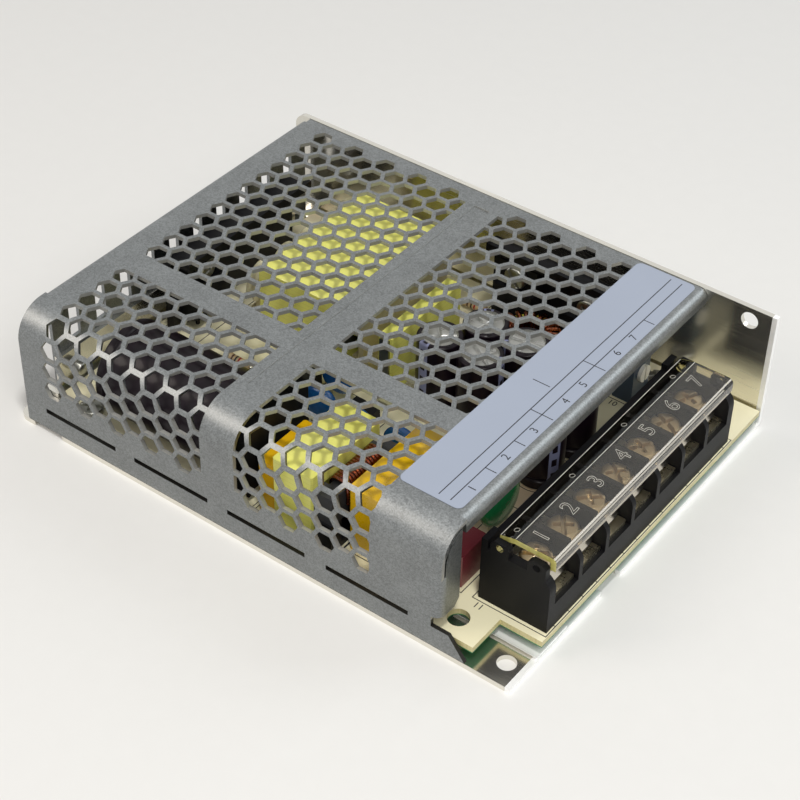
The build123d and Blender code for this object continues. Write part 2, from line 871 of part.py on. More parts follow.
def terminal_block():
    """Moulded block with its barriers, rear wall, end lugs and pin holes."""
    rear_inside = block_rear + block_rear_wall
    body = block(block_rear, block_front, block_start, block_far, board_top, floor_level)
    wall_top = board_top + block_rear_height
    body += block(block_rear, rear_inside, block_start, block_far, board_top, wall_top)
    section = barrier_section()
    body += prism_y(section, block_start, block_start + end_wall)
    body += prism_y(section, block_far - end_wall, block_far)
    for y in station_places()[:-1]:
        middle = y + station_pitch / 2
        body += prism_y(section, middle - barrier_thickness / 2, middle + barrier_thickness / 2)
    post_top = board_top + post_height
    body += block(block_rear, rear_inside, block_start, block_start + post_length, board_top, post_top)
    body += block(block_rear, rear_inside, block_far - post_length, block_far, board_top, post_top)
    for x0, x1 in lug_spans():
        body += prism_y(lug_section(x0, x1), block_start, block_start + lug_thickness)
        body += prism_y(lug_section(x0, x1), block_far - lug_thickness, block_far)
    for x in (pin_x, front_pin_x()):
        body -= rod_y(x, pin_z, block_start - over, block_start + lug_thickness + over, pin_radius + pin_gap)
        body -= rod_y(x, pin_z, block_far - lug_thickness - over, block_far + over, pin_radius + pin_gap)
    screw_x = block_rear + screw_from_rear
    for y in station_places():
        depth = floor_level - terminal_screw_depth
        body -= bar_z(screw_x, y, depth, floor_level + over, terminal_screw / 2 + clearance_gap)
        body -= tail_slot(y, board_top - over, floor_level + over)
    return body


def terminal_contacts():
    """Flat contacts on the station floors, each with a tail through the board."""
    pieces = []
    half = (station_pitch - barrier_thickness) / 2 - contact_side_gap
    rear = block_rear + block_rear_wall + contact_side_gap
    front = block_front - contact_front_gap
    tail_x = block_rear + block_rear_wall + contact_tail_at
    screw_x = block_rear + screw_from_rear
    hole = terminal_screw / 2 + clearance_gap
    for y in station_places():
        plate = block(rear, front, y - half, y + half, floor_level, contact_top)
        plate -= bar_z(screw_x, y, floor_level - over, contact_top + over, hole)
        tail = contact_tail_width / 2
        plate += block(tail_x, tail_x + contact_thickness, y - tail, y + tail,
                       board_bottom - tail_reach, floor_level)
        pieces.append(plate)
    return pieces


def clamp_section():
    """Side view of a clamp plate: flat in the middle, its front and rear edges turned down."""
    x = block_rear + screw_from_rear
    half = clamp_length / 2
    low = clamp_bottom - clamp_gap / 2
    step = clamp_lip
    return polygon([(x - half, low), (x - half + step, low), (x - half + 2 * step, clamp_bottom),
                    (x + half - 2 * step, clamp_bottom), (x + half - step, low), (x + half, low),
                    (x + half - step, clamp_top), (x - half + step, clamp_top)])


def terminal_clamps():
    """Clamp plates under the screw heads."""
    pieces = []
    half = (station_pitch - barrier_thickness) / 2 - clamp_side_gap
    x = block_rear + screw_from_rear
    for y in station_places():
        plate = prism_y(clamp_section(), y - half, y + half)
        pieces.append(plate - bar_z(x, y, floor_level, clamp_top + over, terminal_screw / 2 + clearance_gap))
    return pieces


def terminal_screws():
    """Slotted screws, one in each station."""
    pieces = []
    x = block_rear + screw_from_rear
    top = clamp_top + terminal_screw_head_height
    end = floor_level - terminal_screw_depth + clearance_gap
    radius = terminal_screw_head / 2
    slot = terminal_screw_head_height / 5
    for y in station_places():
        head = bar_z(x, y, clamp_top, top, radius, head_sides)
        head -= block(x - radius, x + radius, y - slot, y + slot, top - 2 * slot, top + over)
        pieces.append(head + bar_z(x, y, end, clamp_top, terminal_screw / 2))
    return pieces


# Clear lid
def lid_section():
    """Side view of the lid: sloped rear strip, flat top and a front edge turned down."""
    top = board_top + lid_top
    under = top - lid_thickness
    rear = block_rear + lid_rear_offset
    knee = rear + lid_slope_length
    front = block_front - lid_front_offset
    inside = front - lid_thickness
    low = top - lid_curl
    half = lid_corner * (1 - math.sqrt(0.5))
    outline = [
        Line((rear, under - lid_slope_drop), (knee, under)),
        Line((knee, under), (inside, under)),
        Line((inside, under), (inside, low)),
        Line((inside, low), (front, low)),
        Line((front, low), (front, top - lid_corner)),
        ThreePointArc((front, top - lid_corner), (front - half, top - half), (front - lid_corner, top)),
        Line((front - lid_corner, top), (knee, top)),
        Line((knee, top), (rear, top - lid_slope_drop)),
        Line((rear, top - lid_slope_drop), (rear, under - lid_slope_drop)),
    ]
    return make_face(outline)


def lid_ear(y0, y1):
    """Rounded ear that hangs under the lid's rear end and carries a pin."""
    under = board_top + lid_top - lid_thickness - lid_slope_drop / 3
    stem = block(pin_x - ear_radius, pin_x + ear_radius, y0, y1, pin_z, under)
    return rod_y(pin_x, pin_z, y0, y1, ear_radius) + stem


def terminal_lid():
    """Clear lid with an ear and a pin at each end."""
    near = block_start + lug_thickness + lid_gap
    far = block_far - lug_thickness - lid_gap
    body = prism_y(lid_section(), near, far)
    body += lid_ear(near, near + ear_thickness)
    body += lid_ear(far - ear_thickness, far)
    body += rod_y(pin_x, pin_z, block_start + pin_gap, near + pin_gap, pin_radius)
    body += rod_y(pin_x, pin_z, far - pin_gap, block_far - pin_gap, pin_radius)
    return body


# Transformer
def transformer_levels():
    """Lowest and highest level of the transformer's core."""
    low = board_top + 2 * bobbin_foot + tape_thickness
    return low, low + core_height


def transformer_core():
    """Ferrite core: a frame with a middle leg across it."""
    low, high = transformer_levels()
    x0 = transformer_start
    y0 = transformer_near
    middle = y0 + core_width / 2
    body = block(x0 + core_inset, x0 + core_length - core_inset, y0, y0 + core_width, low, high)
    for y in (y0 + core_leg, middle + core_leg):
        window_far = y + core_width / 2 - 2 * core_leg
        body -= block(x0, x0 + core_length, y, window_far, low + core_leg / 2, high - core_leg / 2)
    return body


def transformer_winding():
    """Taped winding round the core's middle leg, bulging out at both ends of the core."""
    low, high = transformer_levels()
    x0 = transformer_start
    middle = transformer_near + core_width / 2
    reach = core_width / 2 - core_leg - body_gap
    z0 = low + core_leg / 2 + body_gap
    z1 = high - core_leg / 2 - body_gap
    body = block(x0, x0 + core_length, middle - reach, middle + reach, z0, z1)
    body = fillet(body.edges().filter_by(Axis.Z), core_leg / 3)
    leg = core_leg + body_gap
    x1 = x0 + core_length - winding_wall
    return body - block(x0 + winding_wall, x1, middle - leg, middle + leg, low, high)


def transformer_tape():
    """Band of yellow tape round the core."""
    low, high = transformer_levels()
    y0 = transformer_near
    y1 = y0 + core_width
    x0 = transformer_start + tape_start
    x1 = transformer_start + core_length - tape_start
    inner = block(x0 - over, x1 + over, y0, y1, low, high)
    out = tape_thickness
    band = block(x0, x1, y0 - out, y1 + out, low - out, high + out)
    band = chamfer(band.edges().filter_by(Axis.X), out / 2)
    return band - inner


def transformer_bobbin():
    """Plastic tray with a pin rail at both ends."""
    low, high = transformer_levels()
    x0 = transformer_start - bobbin_rail
    x1 = transformer_start + core_length + bobbin_rail
    y0 = transformer_near + bobbin_inset
    y1 = transformer_near + core_width - bobbin_inset
    tray_top = low - tape_thickness
    tray_low = tray_top - bobbin_foot
    body = block(x0, x1, y0, y1, tray_low, tray_top)
    for side, outer in ((1, x0), (-1, x1)):
        inner = outer + side * (bobbin_rail - body_gap)
        foot = outer + side * bobbin_wall
        wall = outer + side * 2 * bobbin_wall
        body += block(min(outer, inner), max(outer, inner), y0, y1, tray_low, tray_top + bobbin_foot)
        body += block(min(outer, foot), max(outer, foot), y0, y1, board_top, tray_low)
        body += block(min(foot, wall), max(foot, wall), y0, y1, tray_top, tray_top + bobbin_rise)
        pitch = (y1 - y0 - 2 * bobbin_wall) / (bobbin_pin_count - 1)
        x = outer + side * bobbin_wall * 1.5
        for number in range(bobbin_pin_count):
            y = y0 + bobbin_wall + number * pitch
            body += block(x - bobbin_pin / 2, x + bobbin_pin / 2, y - bobbin_pin / 2, y + bobbin_pin / 2,
                          board_top + body_gap, tray_low)
    return body


# Capacitors
def bulk_capacitor():
    """Large can lying along the case, its two leads bent down to the board."""
    radius = bulk_diameter / 2
    z = board_top + body_gap + radius
    y = bulk_near + radius
    body = rod_x(y, z, bulk_start, bulk_start + bulk_length, radius)
    for side in (-1, 1):
        lead_y = y + side * lead_spread
        near = lead_y - lead_radius
        far = lead_y + lead_radius
        turn = bulk_start - lead_run
        body += block(turn - lead_radius, bulk_start, near, far, z - lead_radius, z + lead_radius)
        body += block(turn - lead_radius, turn + lead_radius, near, far, board_top, z)
    return body


def round_capacitor(x, y):
    """Upright can."""
    return rod_z(x, y, board_top + body_gap, board_top + output_height, output_diameter / 2)


def output_capacitor_places():
    """Two staggered rows by the output choke, and a pair under the label."""
    places = []
    for row in range(2):
        for number in range(2):
            x = output_first + number * output_pitch + row * output_stagger
            places.append((x, ring_at[1] - output_from_ring + row * output_row))
    front = cover_front - front_capacitor_from_front
    for number in range(2):
        places.append((front, front_capacitor_near + number * front_capacitor_pitch))
    return places


def film_box(size, place):
    """Moulded box standing on the board."""
    x, y = place
    body = block(x, x + size[0], y, y + size[1], board_top, board_top + size[2])
    return chamfer(body.edges().filter_by(Axis.Z), box_round / 2)


def disc_capacitor(x, y):
    """Upright disc with two leads."""
    z = board_top + disc_lift + disc_radius
    half = disc_thickness / 2
    body = rod_y(x, z, y - half, y + half, disc_radius)
    for side in (-1, 1):
        body += square_lead(x + side * disc_radius / 2, y, z)
    return body


def square_lead(x, y, top):
    """Upright lead from the board into a body, four-sided to save faces."""
    return block(x - lead_radius, x + lead_radius, y - lead_radius, y + lead_radius, board_top, top)


def varistor():
    """Coated disc standing behind the terminals."""
    x = cover_front - varistor_from_front
    y = varistor_near
    z = board_top + disc_lift + varistor_radius
    half = varistor_thickness / 2
    body = rod_x(y, z, x - half, x + half, varistor_radius)
    for side in (-1, 1):
        body += square_lead(x, y + side * varistor_radius / 2, z)
    return body


# Line choke
def choke_levels():
    """Lowest and highest level of the choke's core."""
    low = board_top + choke_core_lift
    return low, low + choke_core_height


def line_choke_core():
    """Flat ferrite frame that lies above the base."""
    low, high = choke_levels()
    x0 = choke_start
    y0 = choke_near
    x1 = x0 + choke_width
    y1 = y0 + choke_length
    leg = choke_leg
    window = block(x0 + leg, x1 - leg, y0 + leg, y1 - leg, low - over, high + over)
    return block(x0, x1, y0, y1, low, high) - window


def line_choke_sleeve():
    """Yellow sleeve round the core's rear leg, closed at the top and round the sides."""
    low, high = choke_levels()
    x0 = choke_start - tape_thickness
    x1 = x0 + choke_sleeve_width
    y0 = choke_near - tape_thickness
    y1 = choke_near + choke_length + tape_thickness
    top = board_top + choke_sleeve_height
    body = block(x0, x1, y0, y1, board_top + choke_base_height, top)
    body = chamfer(body.edges().filter_by(Axis.Z), box_round / 2)
    hollow = line_choke_core()
    room = block(choke_start, choke_start + choke_width, choke_near, choke_near + choke_length, low, high)
    hole = block(choke_start + choke_leg + body_gap, x1 - box_round * 2, choke_near + choke_leg + body_gap,
                 choke_near + choke_length - choke_leg - body_gap, low, high)
    return body - (room - (hole - hollow))


def line_choke_winding():
    """Copper coil round the core's front leg."""
    low, high = choke_levels()
    x = choke_start + choke_width - choke_leg / 2
    z = (low + high) / 2
    y0 = choke_near + choke_leg + choke_coil_margin
    y1 = choke_near + choke_length - choke_leg - choke_coil_margin
    leg = choke_leg / 2 + body_gap
    reach = leg + choke_coil_thickness
    rise = choke_core_height / 2 + choke_coil_rise
    coil = block(x - reach, x + reach, y0, y1, z - rise, z + rise)
    coil = chamfer(coil.edges().filter_by(Axis.Y), choke_coil_rise / 2)
    return coil - block(x - leg, x + leg, y0 - over, y1 + over, low - body_gap, high + body_gap)


def line_choke_base():
    """Plastic base under the choke."""
    x0 = choke_start - tape_thickness
    x1 = choke_start + choke_width
    y0 = choke_near - tape_thickness
    y1 = choke_near + choke_length + tape_thickness
    low, high = choke_levels()
    body = block(x0, x1, y0, y1, board_top, board_top + choke_base_height)
    post = x1 - choke_leg + body_gap
    for y in (y0, y1 - choke_leg):
        body += block(post, x1, y, y + choke_leg, board_top, low)
    return body


# Heatsinks and their devices
def primary_heatsink():
    """Upright aluminium plate at the rear with a flange over its devices."""
    x = primary_sink_at
    y0 = primary_sink_near
    top = board_top + heatsink_height
    outer = [(x, board_top), (x, top), (x + primary_sink_flange, top)]
    inner = [(x + heatsink_plate, board_top), (x + heatsink_plate, top - heatsink_plate),
             (x + primary_sink_flange, top - heatsink_plate)]
    section = folded(outer, inner, heatsink_bend, heatsink_plate)
    return prism_y(section, y0, y0 + primary_sink_length)


def output_heatsink():
    """Upright aluminium plate along the far wall with a folded top."""
    y = board_far - output_sink_from_far + heatsink_plate
    x0 = output_sink_start
    top = board_top + heatsink_height
    outer = [(y, board_top), (y, top), (y - output_sink_flange - heatsink_plate, top)]
    inner = [(y - heatsink_plate, board_top), (y - heatsink_plate, top - heatsink_plate),
             (y - output_sink_flange - heatsink_plate, top - heatsink_plate)]
    section = folded(outer, inner, heatsink_bend, heatsink_plate)
    return prism_x(section, x0, x0 + output_sink_length)


def package_body():
    """Flat power device lying in its own frame: back on x = 0, its foot on z = 0."""
    half = package_width / 2
    body = block(0, package_depth, -half, half, 0, package_height)
    body -= block(package_tab_depth, package_depth + over, -half - over, half + over,
                  package_tab_low, package_height + over)
    for number in (-1, 0, 1):
        y = number * package_lead_pitch
        x = package_depth / 2
        lead = package_lead / 2
        body += block(x - lead, x + lead, y - lead, y + lead, -package_lift, 0)
    return body


def primary_transistor():
    """Power transistor on the rear heatsink."""
    y = primary_sink_near + transistor_from_end
    return Pos(primary_sink_at + heatsink_plate, y, board_top + package_lift) * package_body()


def output_rectifier_places():
    """Middle of both rectifiers along the far heatsink."""
    first = output_sink_start + output_rectifier_offset
    return [first, first + output_rectifier_pitch]


def output_rectifier(x):
    """Rectifier on the far heatsink."""
    y = board_far - output_sink_from_far
    return Pos(x, y, board_top + package_lift) * Rot(0, 0, -90) * package_body()


def sink_screws():
    """Screws that hold the power devices on their heatsinks."""
    z = board_top + package_lift + sink_screw_rise
    thin = package_tab_depth
    x = primary_sink_at + heatsink_plate + thin
    y = primary_sink_near + transistor_from_end
    pieces = [bar_x(y, z, x, x + screw_head_height, screw_head / 2, head_sides)]
    y = board_far - output_sink_from_far - thin
    for place in output_rectifier_places():
        pieces.append(bar_y(place, z, y - screw_head_height, y, screw_head / 2, head_sides))
    return pieces


def bridge_rectifier():
    """Flat upright bridge rectifier with one cut corner and four leads."""
    depth, width, height = bridge_size
    x, y = bridge_at
    low = board_top + package_lift
    cut = depth
    top = low + height
    outline = [(y, low), (y + width, low), (y + width, top), (y + cut, top), (y, top - cut)]
    body = prism_x(polygon(outline), x, x + depth)
    for number in range(4):
        lead_y = y + width * (number + 0.5) / 4
        middle = x + depth / 2
        lead = package_lead / 2
        body += block(middle - lead, middle + lead, lead_y - lead, lead_y + lead, board_top, low)
    return body


# Shield bar and output choke
def shield_bar():
    """Upright metal bar between the transformer and the output side, on two feet."""
    x, y = bar_at
    low = board_top + bar_foot
    body = block(x, x + bar_size[0], y, y + bar_size[1], low, low + bar_size[2])
    for foot_y in (y, y + bar_size[1] - bar_foot):
        body += block(x, x + bar_size[0], foot_y, foot_y + bar_foot, board_top, low)
    return body


def shield_tape():
    """Yellow tape folded over the bar."""
    x, y = bar_at
    low = board_top + bar_foot + bar_tape
    high = board_top + bar_foot + bar_size[2]
    cover_box = block(x - bar_tape, x + bar_size[0] + bar_tape, y + bar_tape, y + bar_size[1] - bar_tape,
                      low, high + bar_tape)
    return cover_box - block(x, x + bar_size[0], y, y + bar_size[1], board_top, high)


def ring_section(inner, outer, low, high):
    """Ring about the output choke's own axis."""
    x, y = ring_at
    hole = bar_z(x, y, low - over, high + over, inner, ring_sides)
    return bar_z(x, y, low, high, outer, ring_sides) - hole


def output_choke_core():
    """Ring core that lies over the board."""
    low = board_top + ring_lift
    return ring_section(ring_hole + ring_coil_thickness, ring_radius - ring_coil_thickness,
                        low, low + ring_height - 2 * ring_coil_thickness)


def output_choke_winding():
    """Thick wire round the ring core, as one closed ring with a flat side for each turn."""
    low = board_top + ring_lift
    gap = body_gap / 2
    core_low = low - gap
    wire = ring_coil_thickness
    core_high = low + ring_height - 2 * wire + gap
    outer = ring_section(ring_hole, ring_radius, low - wire, low + ring_height - wire)
    inside = ring_section(ring_hole + wire - gap, ring_radius - wire + gap, core_low, core_high)
    return outer - inside


# Small parts
def coupler(place):
    """Small moulded package with four legs."""
    x, y = place
    size = coupler_size
    low = board_top + package_lead
    body = block(x, x + size[0], y, y + size[1], low, low + size[2])
    for leg_x in (x + size[0] / 4, x + size[0] * 3 / 4):
        for leg_y in (y + package_lead, y + size[1] - package_lead):
            half = package_lead / 2
            body += block(leg_x - half, leg_x + half, leg_y - half, leg_y + half, board_top, low)
    return body


def coupler_places():
    """One isolator beside the discs and one beside the far heatsink."""
    return [coupler_place, (far_coupler_x, board_far - far_coupler_from_far)]


def controller():
    """Moulded control circuit with two rows of legs."""
    x, y = controller_at
    size = controller_size
    low = board_top + package_lead
    body = block(x, x + size[0], y, y + size[1], low, low + size[2])
    half = package_lead / 3
    for number in range(4):
        leg_y = y + size[1] * (number + 0.5) / 4
        for leg_x in (x + package_lead, x + size[0] - package_lead):
            body += block(leg_x - half, leg_x + half, leg_y - half, leg_y + half, board_top, low)
    return body


def resistors():
    """Lying resistors of the snubbers, each on its two leads."""
    pieces = []
    z = board_top + lead_radius + resistor_radius
    half = resistor_length / 2
    far = (far_resistor_x, board_far - far_resistor_from_far)
    for x, y in [*resistor_places, far]:
        body = bar_x(y, z, x - half, x + half, resistor_radius)
        near = y - lead_radius
        end = half + 2 * lead_radius
        body += block(x - end, x + end, near, near + 2 * lead_radius, z - lead_radius, z + lead_radius)
        for side in (-1, 1):
            body += square_lead(x + side * (half + lead_radius), y, z)
        pieces.append(body)
    return pieces


# Trimmer
def trimmer_axis():
    """Front face, middle and level of the trimmer's rotor."""
    front = cover_front - trimmer_front_from_bay
    return front, wall_face - trimmer_from_wall, board_top + rotor_rise


def trimmer_body():
    """Upright trimmer housing with the bore for its rotor."""
    front, y, z = trimmer_axis()
    depth, width, height = trimmer_size
    body = block(front - depth, front, y - width / 2, y + width / 2, board_top, board_top + height)
    body = chamfer(body.edges().filter_by(Axis.X).sort_by(Axis.Z)[-2:], rotor_slot_width)
    return body - rod_x(y, z, front - rotor_stem - rotor_gap, front + over, rotor_stem_radius + rotor_gap)


def trimmer_rotor():
    """Slotted rotor that turns in the trimmer's housing."""
    front, y, z = trimmer_axis()
    face = front + rotor_gap
    body = rod_x(y, z, face, face + rotor_face, rotor_radius)
    body += rod_x(y, z, front - rotor_stem, face, rotor_stem_radius)
    half = rotor_slot_width / 2
    floor = face + rotor_face - rotor_slot_depth
    top = z + rotor_radius
    return body - block(floor, face + rotor_face + over, y - half, y + half, z - rotor_radius, top)


os.makedirs("parts", exist_ok=True)

write(chassis(), "chassis")
write(cover(), "cover")
write(label(), "label")
write(board(), "board")
write(insulation_sheet(), "insulation_sheet")
write(Compound(standoffs()), "standoffs")
write(Compound(board_screws()), "board_screws")
write(Compound(cover_screws()), "cover_screws")
write(terminal_block(), "terminal_block")
write(Compound(terminal_contacts()), "terminal_contacts")
write(Compound(terminal_clamps()), "terminal_clamps")
write(Compound(terminal_screws()), "terminal_screws")
write(terminal_lid(), "terminal_lid")
write(transformer_core(), "transformer_core")
write(transformer_winding(), "transformer_winding")
write(transformer_tape(), "transformer_tape")
write(transformer_bobbin(), "transformer_bobbin")
write(bulk_capacitor(), "bulk_capacitor")
for number, place in enumerate(output_capacitor_places(), 1):
    write(round_capacitor(*place), "output_capacitor_" + str(number))
write(film_box(x_capacitor_size, x_capacitor_at), "x_capacitor")
write(film_box(small_x_size, small_x_at), "small_x_capacitor")
for number, place in enumerate(disc_places, 1):
    write(disc_capacitor(*place), "disc_capacitor_" + str(number))
write(varistor(), "varistor")
write(film_box(fuse_size, (cover_front - fuse_from_front, fuse_near)), "fuse")
write(line_choke_core(), "line_choke_core")
write(line_choke_sleeve(), "line_choke_sleeve")
write(line_choke_winding(), "line_choke_winding")
write(line_choke_base(), "line_choke_base")
write(primary_heatsink(), "primary_heatsink")
write(output_heatsink(), "output_heatsink")
write(primary_transistor(), "primary_transistor")
for number, place in enumerate(output_rectifier_places(), 1):
    write(output_rectifier(place), "output_rectifier_" + str(number))
write(Compound(sink_screws()), "sink_screws")
write(bridge_rectifier(), "bridge_rectifier")
write(shield_bar(), "shield_bar")
write(shield_tape(), "shield_tape")
write(output_choke_core(), "output_choke_core")
write(output_choke_winding(), "output_choke_winding")
for number, place in enumerate(coupler_places(), 1):
    write(coupler(place), "optocoupler_" + str(number))
write(controller(), "controller")
write(Compound(resistors()), "resistors")
write(trimmer_body(), "trimmer_body")
write(trimmer_rotor(), "trimmer_rotor")
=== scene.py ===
import json
import math

import bmesh
import bpy
import numpy as np
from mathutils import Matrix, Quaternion, Vector


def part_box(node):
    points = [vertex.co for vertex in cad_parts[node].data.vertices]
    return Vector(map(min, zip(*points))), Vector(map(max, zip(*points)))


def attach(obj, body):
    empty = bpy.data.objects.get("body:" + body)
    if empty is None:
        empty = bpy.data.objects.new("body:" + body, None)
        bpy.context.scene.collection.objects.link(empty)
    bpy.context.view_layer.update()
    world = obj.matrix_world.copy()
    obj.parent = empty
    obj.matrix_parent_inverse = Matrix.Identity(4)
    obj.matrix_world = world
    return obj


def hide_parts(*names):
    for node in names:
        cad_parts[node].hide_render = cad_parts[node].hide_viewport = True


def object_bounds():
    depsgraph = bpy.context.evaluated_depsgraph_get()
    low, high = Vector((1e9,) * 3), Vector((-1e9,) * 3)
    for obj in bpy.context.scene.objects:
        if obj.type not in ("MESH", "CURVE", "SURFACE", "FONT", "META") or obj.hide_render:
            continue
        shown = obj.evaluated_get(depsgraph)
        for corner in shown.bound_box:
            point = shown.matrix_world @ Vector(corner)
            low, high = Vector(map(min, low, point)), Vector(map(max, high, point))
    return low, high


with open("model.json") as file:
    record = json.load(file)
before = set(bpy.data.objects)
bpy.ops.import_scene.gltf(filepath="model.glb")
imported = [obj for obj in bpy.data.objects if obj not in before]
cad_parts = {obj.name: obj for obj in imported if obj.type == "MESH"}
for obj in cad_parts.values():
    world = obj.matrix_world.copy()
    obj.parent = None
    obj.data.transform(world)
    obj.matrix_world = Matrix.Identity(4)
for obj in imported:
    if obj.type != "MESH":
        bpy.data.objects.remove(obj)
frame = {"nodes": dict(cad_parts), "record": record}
cad_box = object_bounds()

bl_info = {
    "name": "Mesh case power supply",
    "version": (1, 0, 0),
    "blender": (4, 5, 0),
    "location": "3D View > Sidebar > Supply",
    "description": "Dresses the packed power supply with its finishes, windings, printed marks and studio",
    "category": "Object",
}

MM = 0.001


def mm(*sizes):
    """Sizes in metres from millimetres."""
    return [size * MM for size in sizes]


def colour(code):
    """Linear colour of a display colour written as 0xRRGGBB. Anything else stays as it is."""
    if not isinstance(code, int):
        return code
    parts = [(code >> shift & 255) / 255 for shift in (16, 8, 0)]
    linear = [c / 12.92 if c <= 0.04045 else ((c + 0.055) / 1.055) ** 2.4 for c in parts]
    return (*linear, 1.0)


# Settings
def length(name, description, size):
    """A length setting, in metres."""
    return bpy.props.FloatProperty(name=name, description=description, default=size, unit="LENGTH")


def turns(name, description, count, least):
    """A setting for a number of turns."""
    return bpy.props.IntProperty(name=name, description=description, default=count, min=least)


def tint(name, description, code):
    """A colour setting, from 0xRRGGBB."""
    return bpy.props.FloatVectorProperty(
        name=name, description=description, subtype="COLOR", size=4, default=colour(code))


class SupplySizes(bpy.types.PropertyGroup):
    """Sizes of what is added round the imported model."""

    digit_height: length("Digit height", "Height of the digits moulded into the lid", 3.6 * MM)
    ring_turns: turns("Output choke turns", "Turns of thick wire round the ring core", 19, 6)
    ring_wire: length("Output choke wire", "Diameter of the output choke's wire", 1.25 * MM)
    coil_turns: turns("Line choke turns", "Turns of wire on the line choke", 15, 4)
    coil_wire: length("Line choke wire", "Diameter of the line choke's wire", 0.82 * MM)
    rule_width: length("Rule width", "Width of the rules printed on the label", 0.22 * MM)
    floor_reach: length("Floor reach", "Half the width of the studio floor", 3.0)


class SupplyColours(bpy.types.PropertyGroup):
    """Colours of the main finishes."""

    cover: tint("Cover", "Galvanised cover sheet", 0x878A8B)
    chassis: tint("Chassis", "Bright chassis sheet", 0xE6E3DA)
    label: tint("Label", "Label film", 0x9EA7B8)
    board: tint("Board", "Component side of the board", 0xF4EECB)
    tape: tint("Tape", "Lemon yellow polyester tape", 0xFDFA80)
    film: tint("Film capacitor", "Orange-yellow moulded boxes", 0xFDC608)
    sleeve: tint("Can sleeve", "Dark sleeve of the round capacitors", 0x170D16)
    floor: tint("Floor", "Studio floor", 0xE4E4E2)


# Shader maths
class Signal:
    """A shader socket in an expression: sums and products on it add Math nodes."""

    def __init__(self, graph, socket):
        self.graph = graph
        self.socket = socket

    def maths(self, operation, *others):
        return self.graph.node("ShaderNodeMath", {"operation": operation}, dict(enumerate((self, *others))))

    def __add__(self, other):
        return self.maths("ADD", other)

    __radd__ = __add__

    def __sub__(self, other):
        return self.maths("SUBTRACT", other)

    def __rsub__(self, other):
        return self * -1 + other

    def __mul__(self, other):
        return self.maths("MULTIPLY", other)

    __rmul__ = __mul__

    def above(self, limit):
        return self.maths("GREATER_THAN", limit)

    def below(self, limit):
        return self.maths("LESS_THAN", limit)

    def within(self, low, high):
        return self.above(low) * self.below(high)

    def absolute(self):
        return self.maths("ABSOLUTE")

    def fraction(self):
        return self.maths("FRACT")

    def most(self, other):
        return self.maths("MAXIMUM", other)

    def ramp(self, low, high):
        """0 at low and under, 1 at high and over, smooth between them."""
        settings = {"interpolation_type": "SMOOTHSTEP"}
        values = {"Value": self, "From Min": low, "From Max": high, "To Min": 0.0, "To Max": 1.0}
        return self.graph.node("ShaderNodeMapRange", settings, values)


class Graph:
    """A node tree, with one method that adds any node to it."""

    def __init__(self, tree):
        self.tree = tree

    def feed(self, socket, value):
        """Links a signal to a socket, or sets a plain value on it."""
        if isinstance(value, Signal):
            self.tree.links.new(value.socket, socket)
        else:
            socket.default_value = value

    def node(self, kind, settings=None, values=None, output=0):
        """Adds a node: its settings first, then the values or links of its sockets."""
        made = self.tree.nodes.new(kind)
        for key, value in (settings or {}).items():
            setattr(made, key, value)
        for key, value in (values or {}).items():
            self.feed(made.inputs[key], value)
        return Signal(self, made.outputs[output]) if made.outputs else None


class Finish(Graph):
    """One procedural material on the principled shader."""

    def __init__(self, name, base, roughness, **plain):
        self.material = bpy.data.materials.new(name)
        self.material.use_nodes = True
        super().__init__(self.material.node_tree)
        self.surface = self.tree.nodes["Principled BSDF"]
        for key, value in {"base_color": colour(base), "roughness": roughness, **plain}.items():
            self.set(key.replace("_", " ").title().replace("Ior", "IOR"), value)

    def set(self, socket, value):
        """Sets or links one socket of the principled shader."""
        self.feed(self.surface.inputs[socket], value)

    def done(self, skin, roughness, height=None, depth=0.0, strength=1.0):
        """Feeds the colour, the roughness and a bump with its depth in mm, and gives the material."""
        self.set("Base Color", skin)
        self.set("Roughness", roughness)
        if height:
            values = {"Height": height, "Distance": depth * MM, "Strength": strength}
            self.set("Normal", self.node("ShaderNodeBump", values=values))
        return self.material

    def coordinates(self, kind="Object"):
        return self.node("ShaderNodeTexCoord", output=kind)

    def parts(self, vector):
        """The three parts of a vector."""
        split = self.node("ShaderNodeSeparateXYZ", values={0: vector}).socket.node
        return [Signal(self, part) for part in split.outputs]

    def axes(self):
        """The three object coordinates."""
        return self.parts(self.coordinates())

    def noise(self, scale, detail=2.0, stretch=None):
        """Cloudy noise, on coordinates that may be scaled first along each axis."""
        vector = self.coordinates()
        if stretch:
            values = {"Vector": vector, "Scale": stretch}
            vector = self.node("ShaderNodeMapping", {"vector_type": "POINT"}, values)
        return self.node("ShaderNodeTexNoise", values={"Vector": vector, "Scale": scale, "Detail": detail})

    def cells(self, scale):
        """A value from 0 to 1 for each cell of a random mosaic."""
        values = {"Vector": self.coordinates(), "Scale": scale}
        mosaic = self.node("ShaderNodeTexVoronoi", values=values, output="Color")
        return self.node("ShaderNodeSeparateColor", values={0: mosaic})

    def mix(self, factor, a, b):
        values = {0: factor, 6: colour(a), 7: colour(b)}
        return self.node("ShaderNodeMix", {"data_type": "RGBA"}, values, output=2)

    def shades(self, factor, base, dark, light):
        """A colour between two shares of its lightness."""
        return self.mix(factor, tone(base, dark), tone(base, light))


def tone(base, share):
    """A colour made lighter or darker by a share."""
    return (*[min(c * share, 1.0) for c in colour(base)[:3]], 1.0)


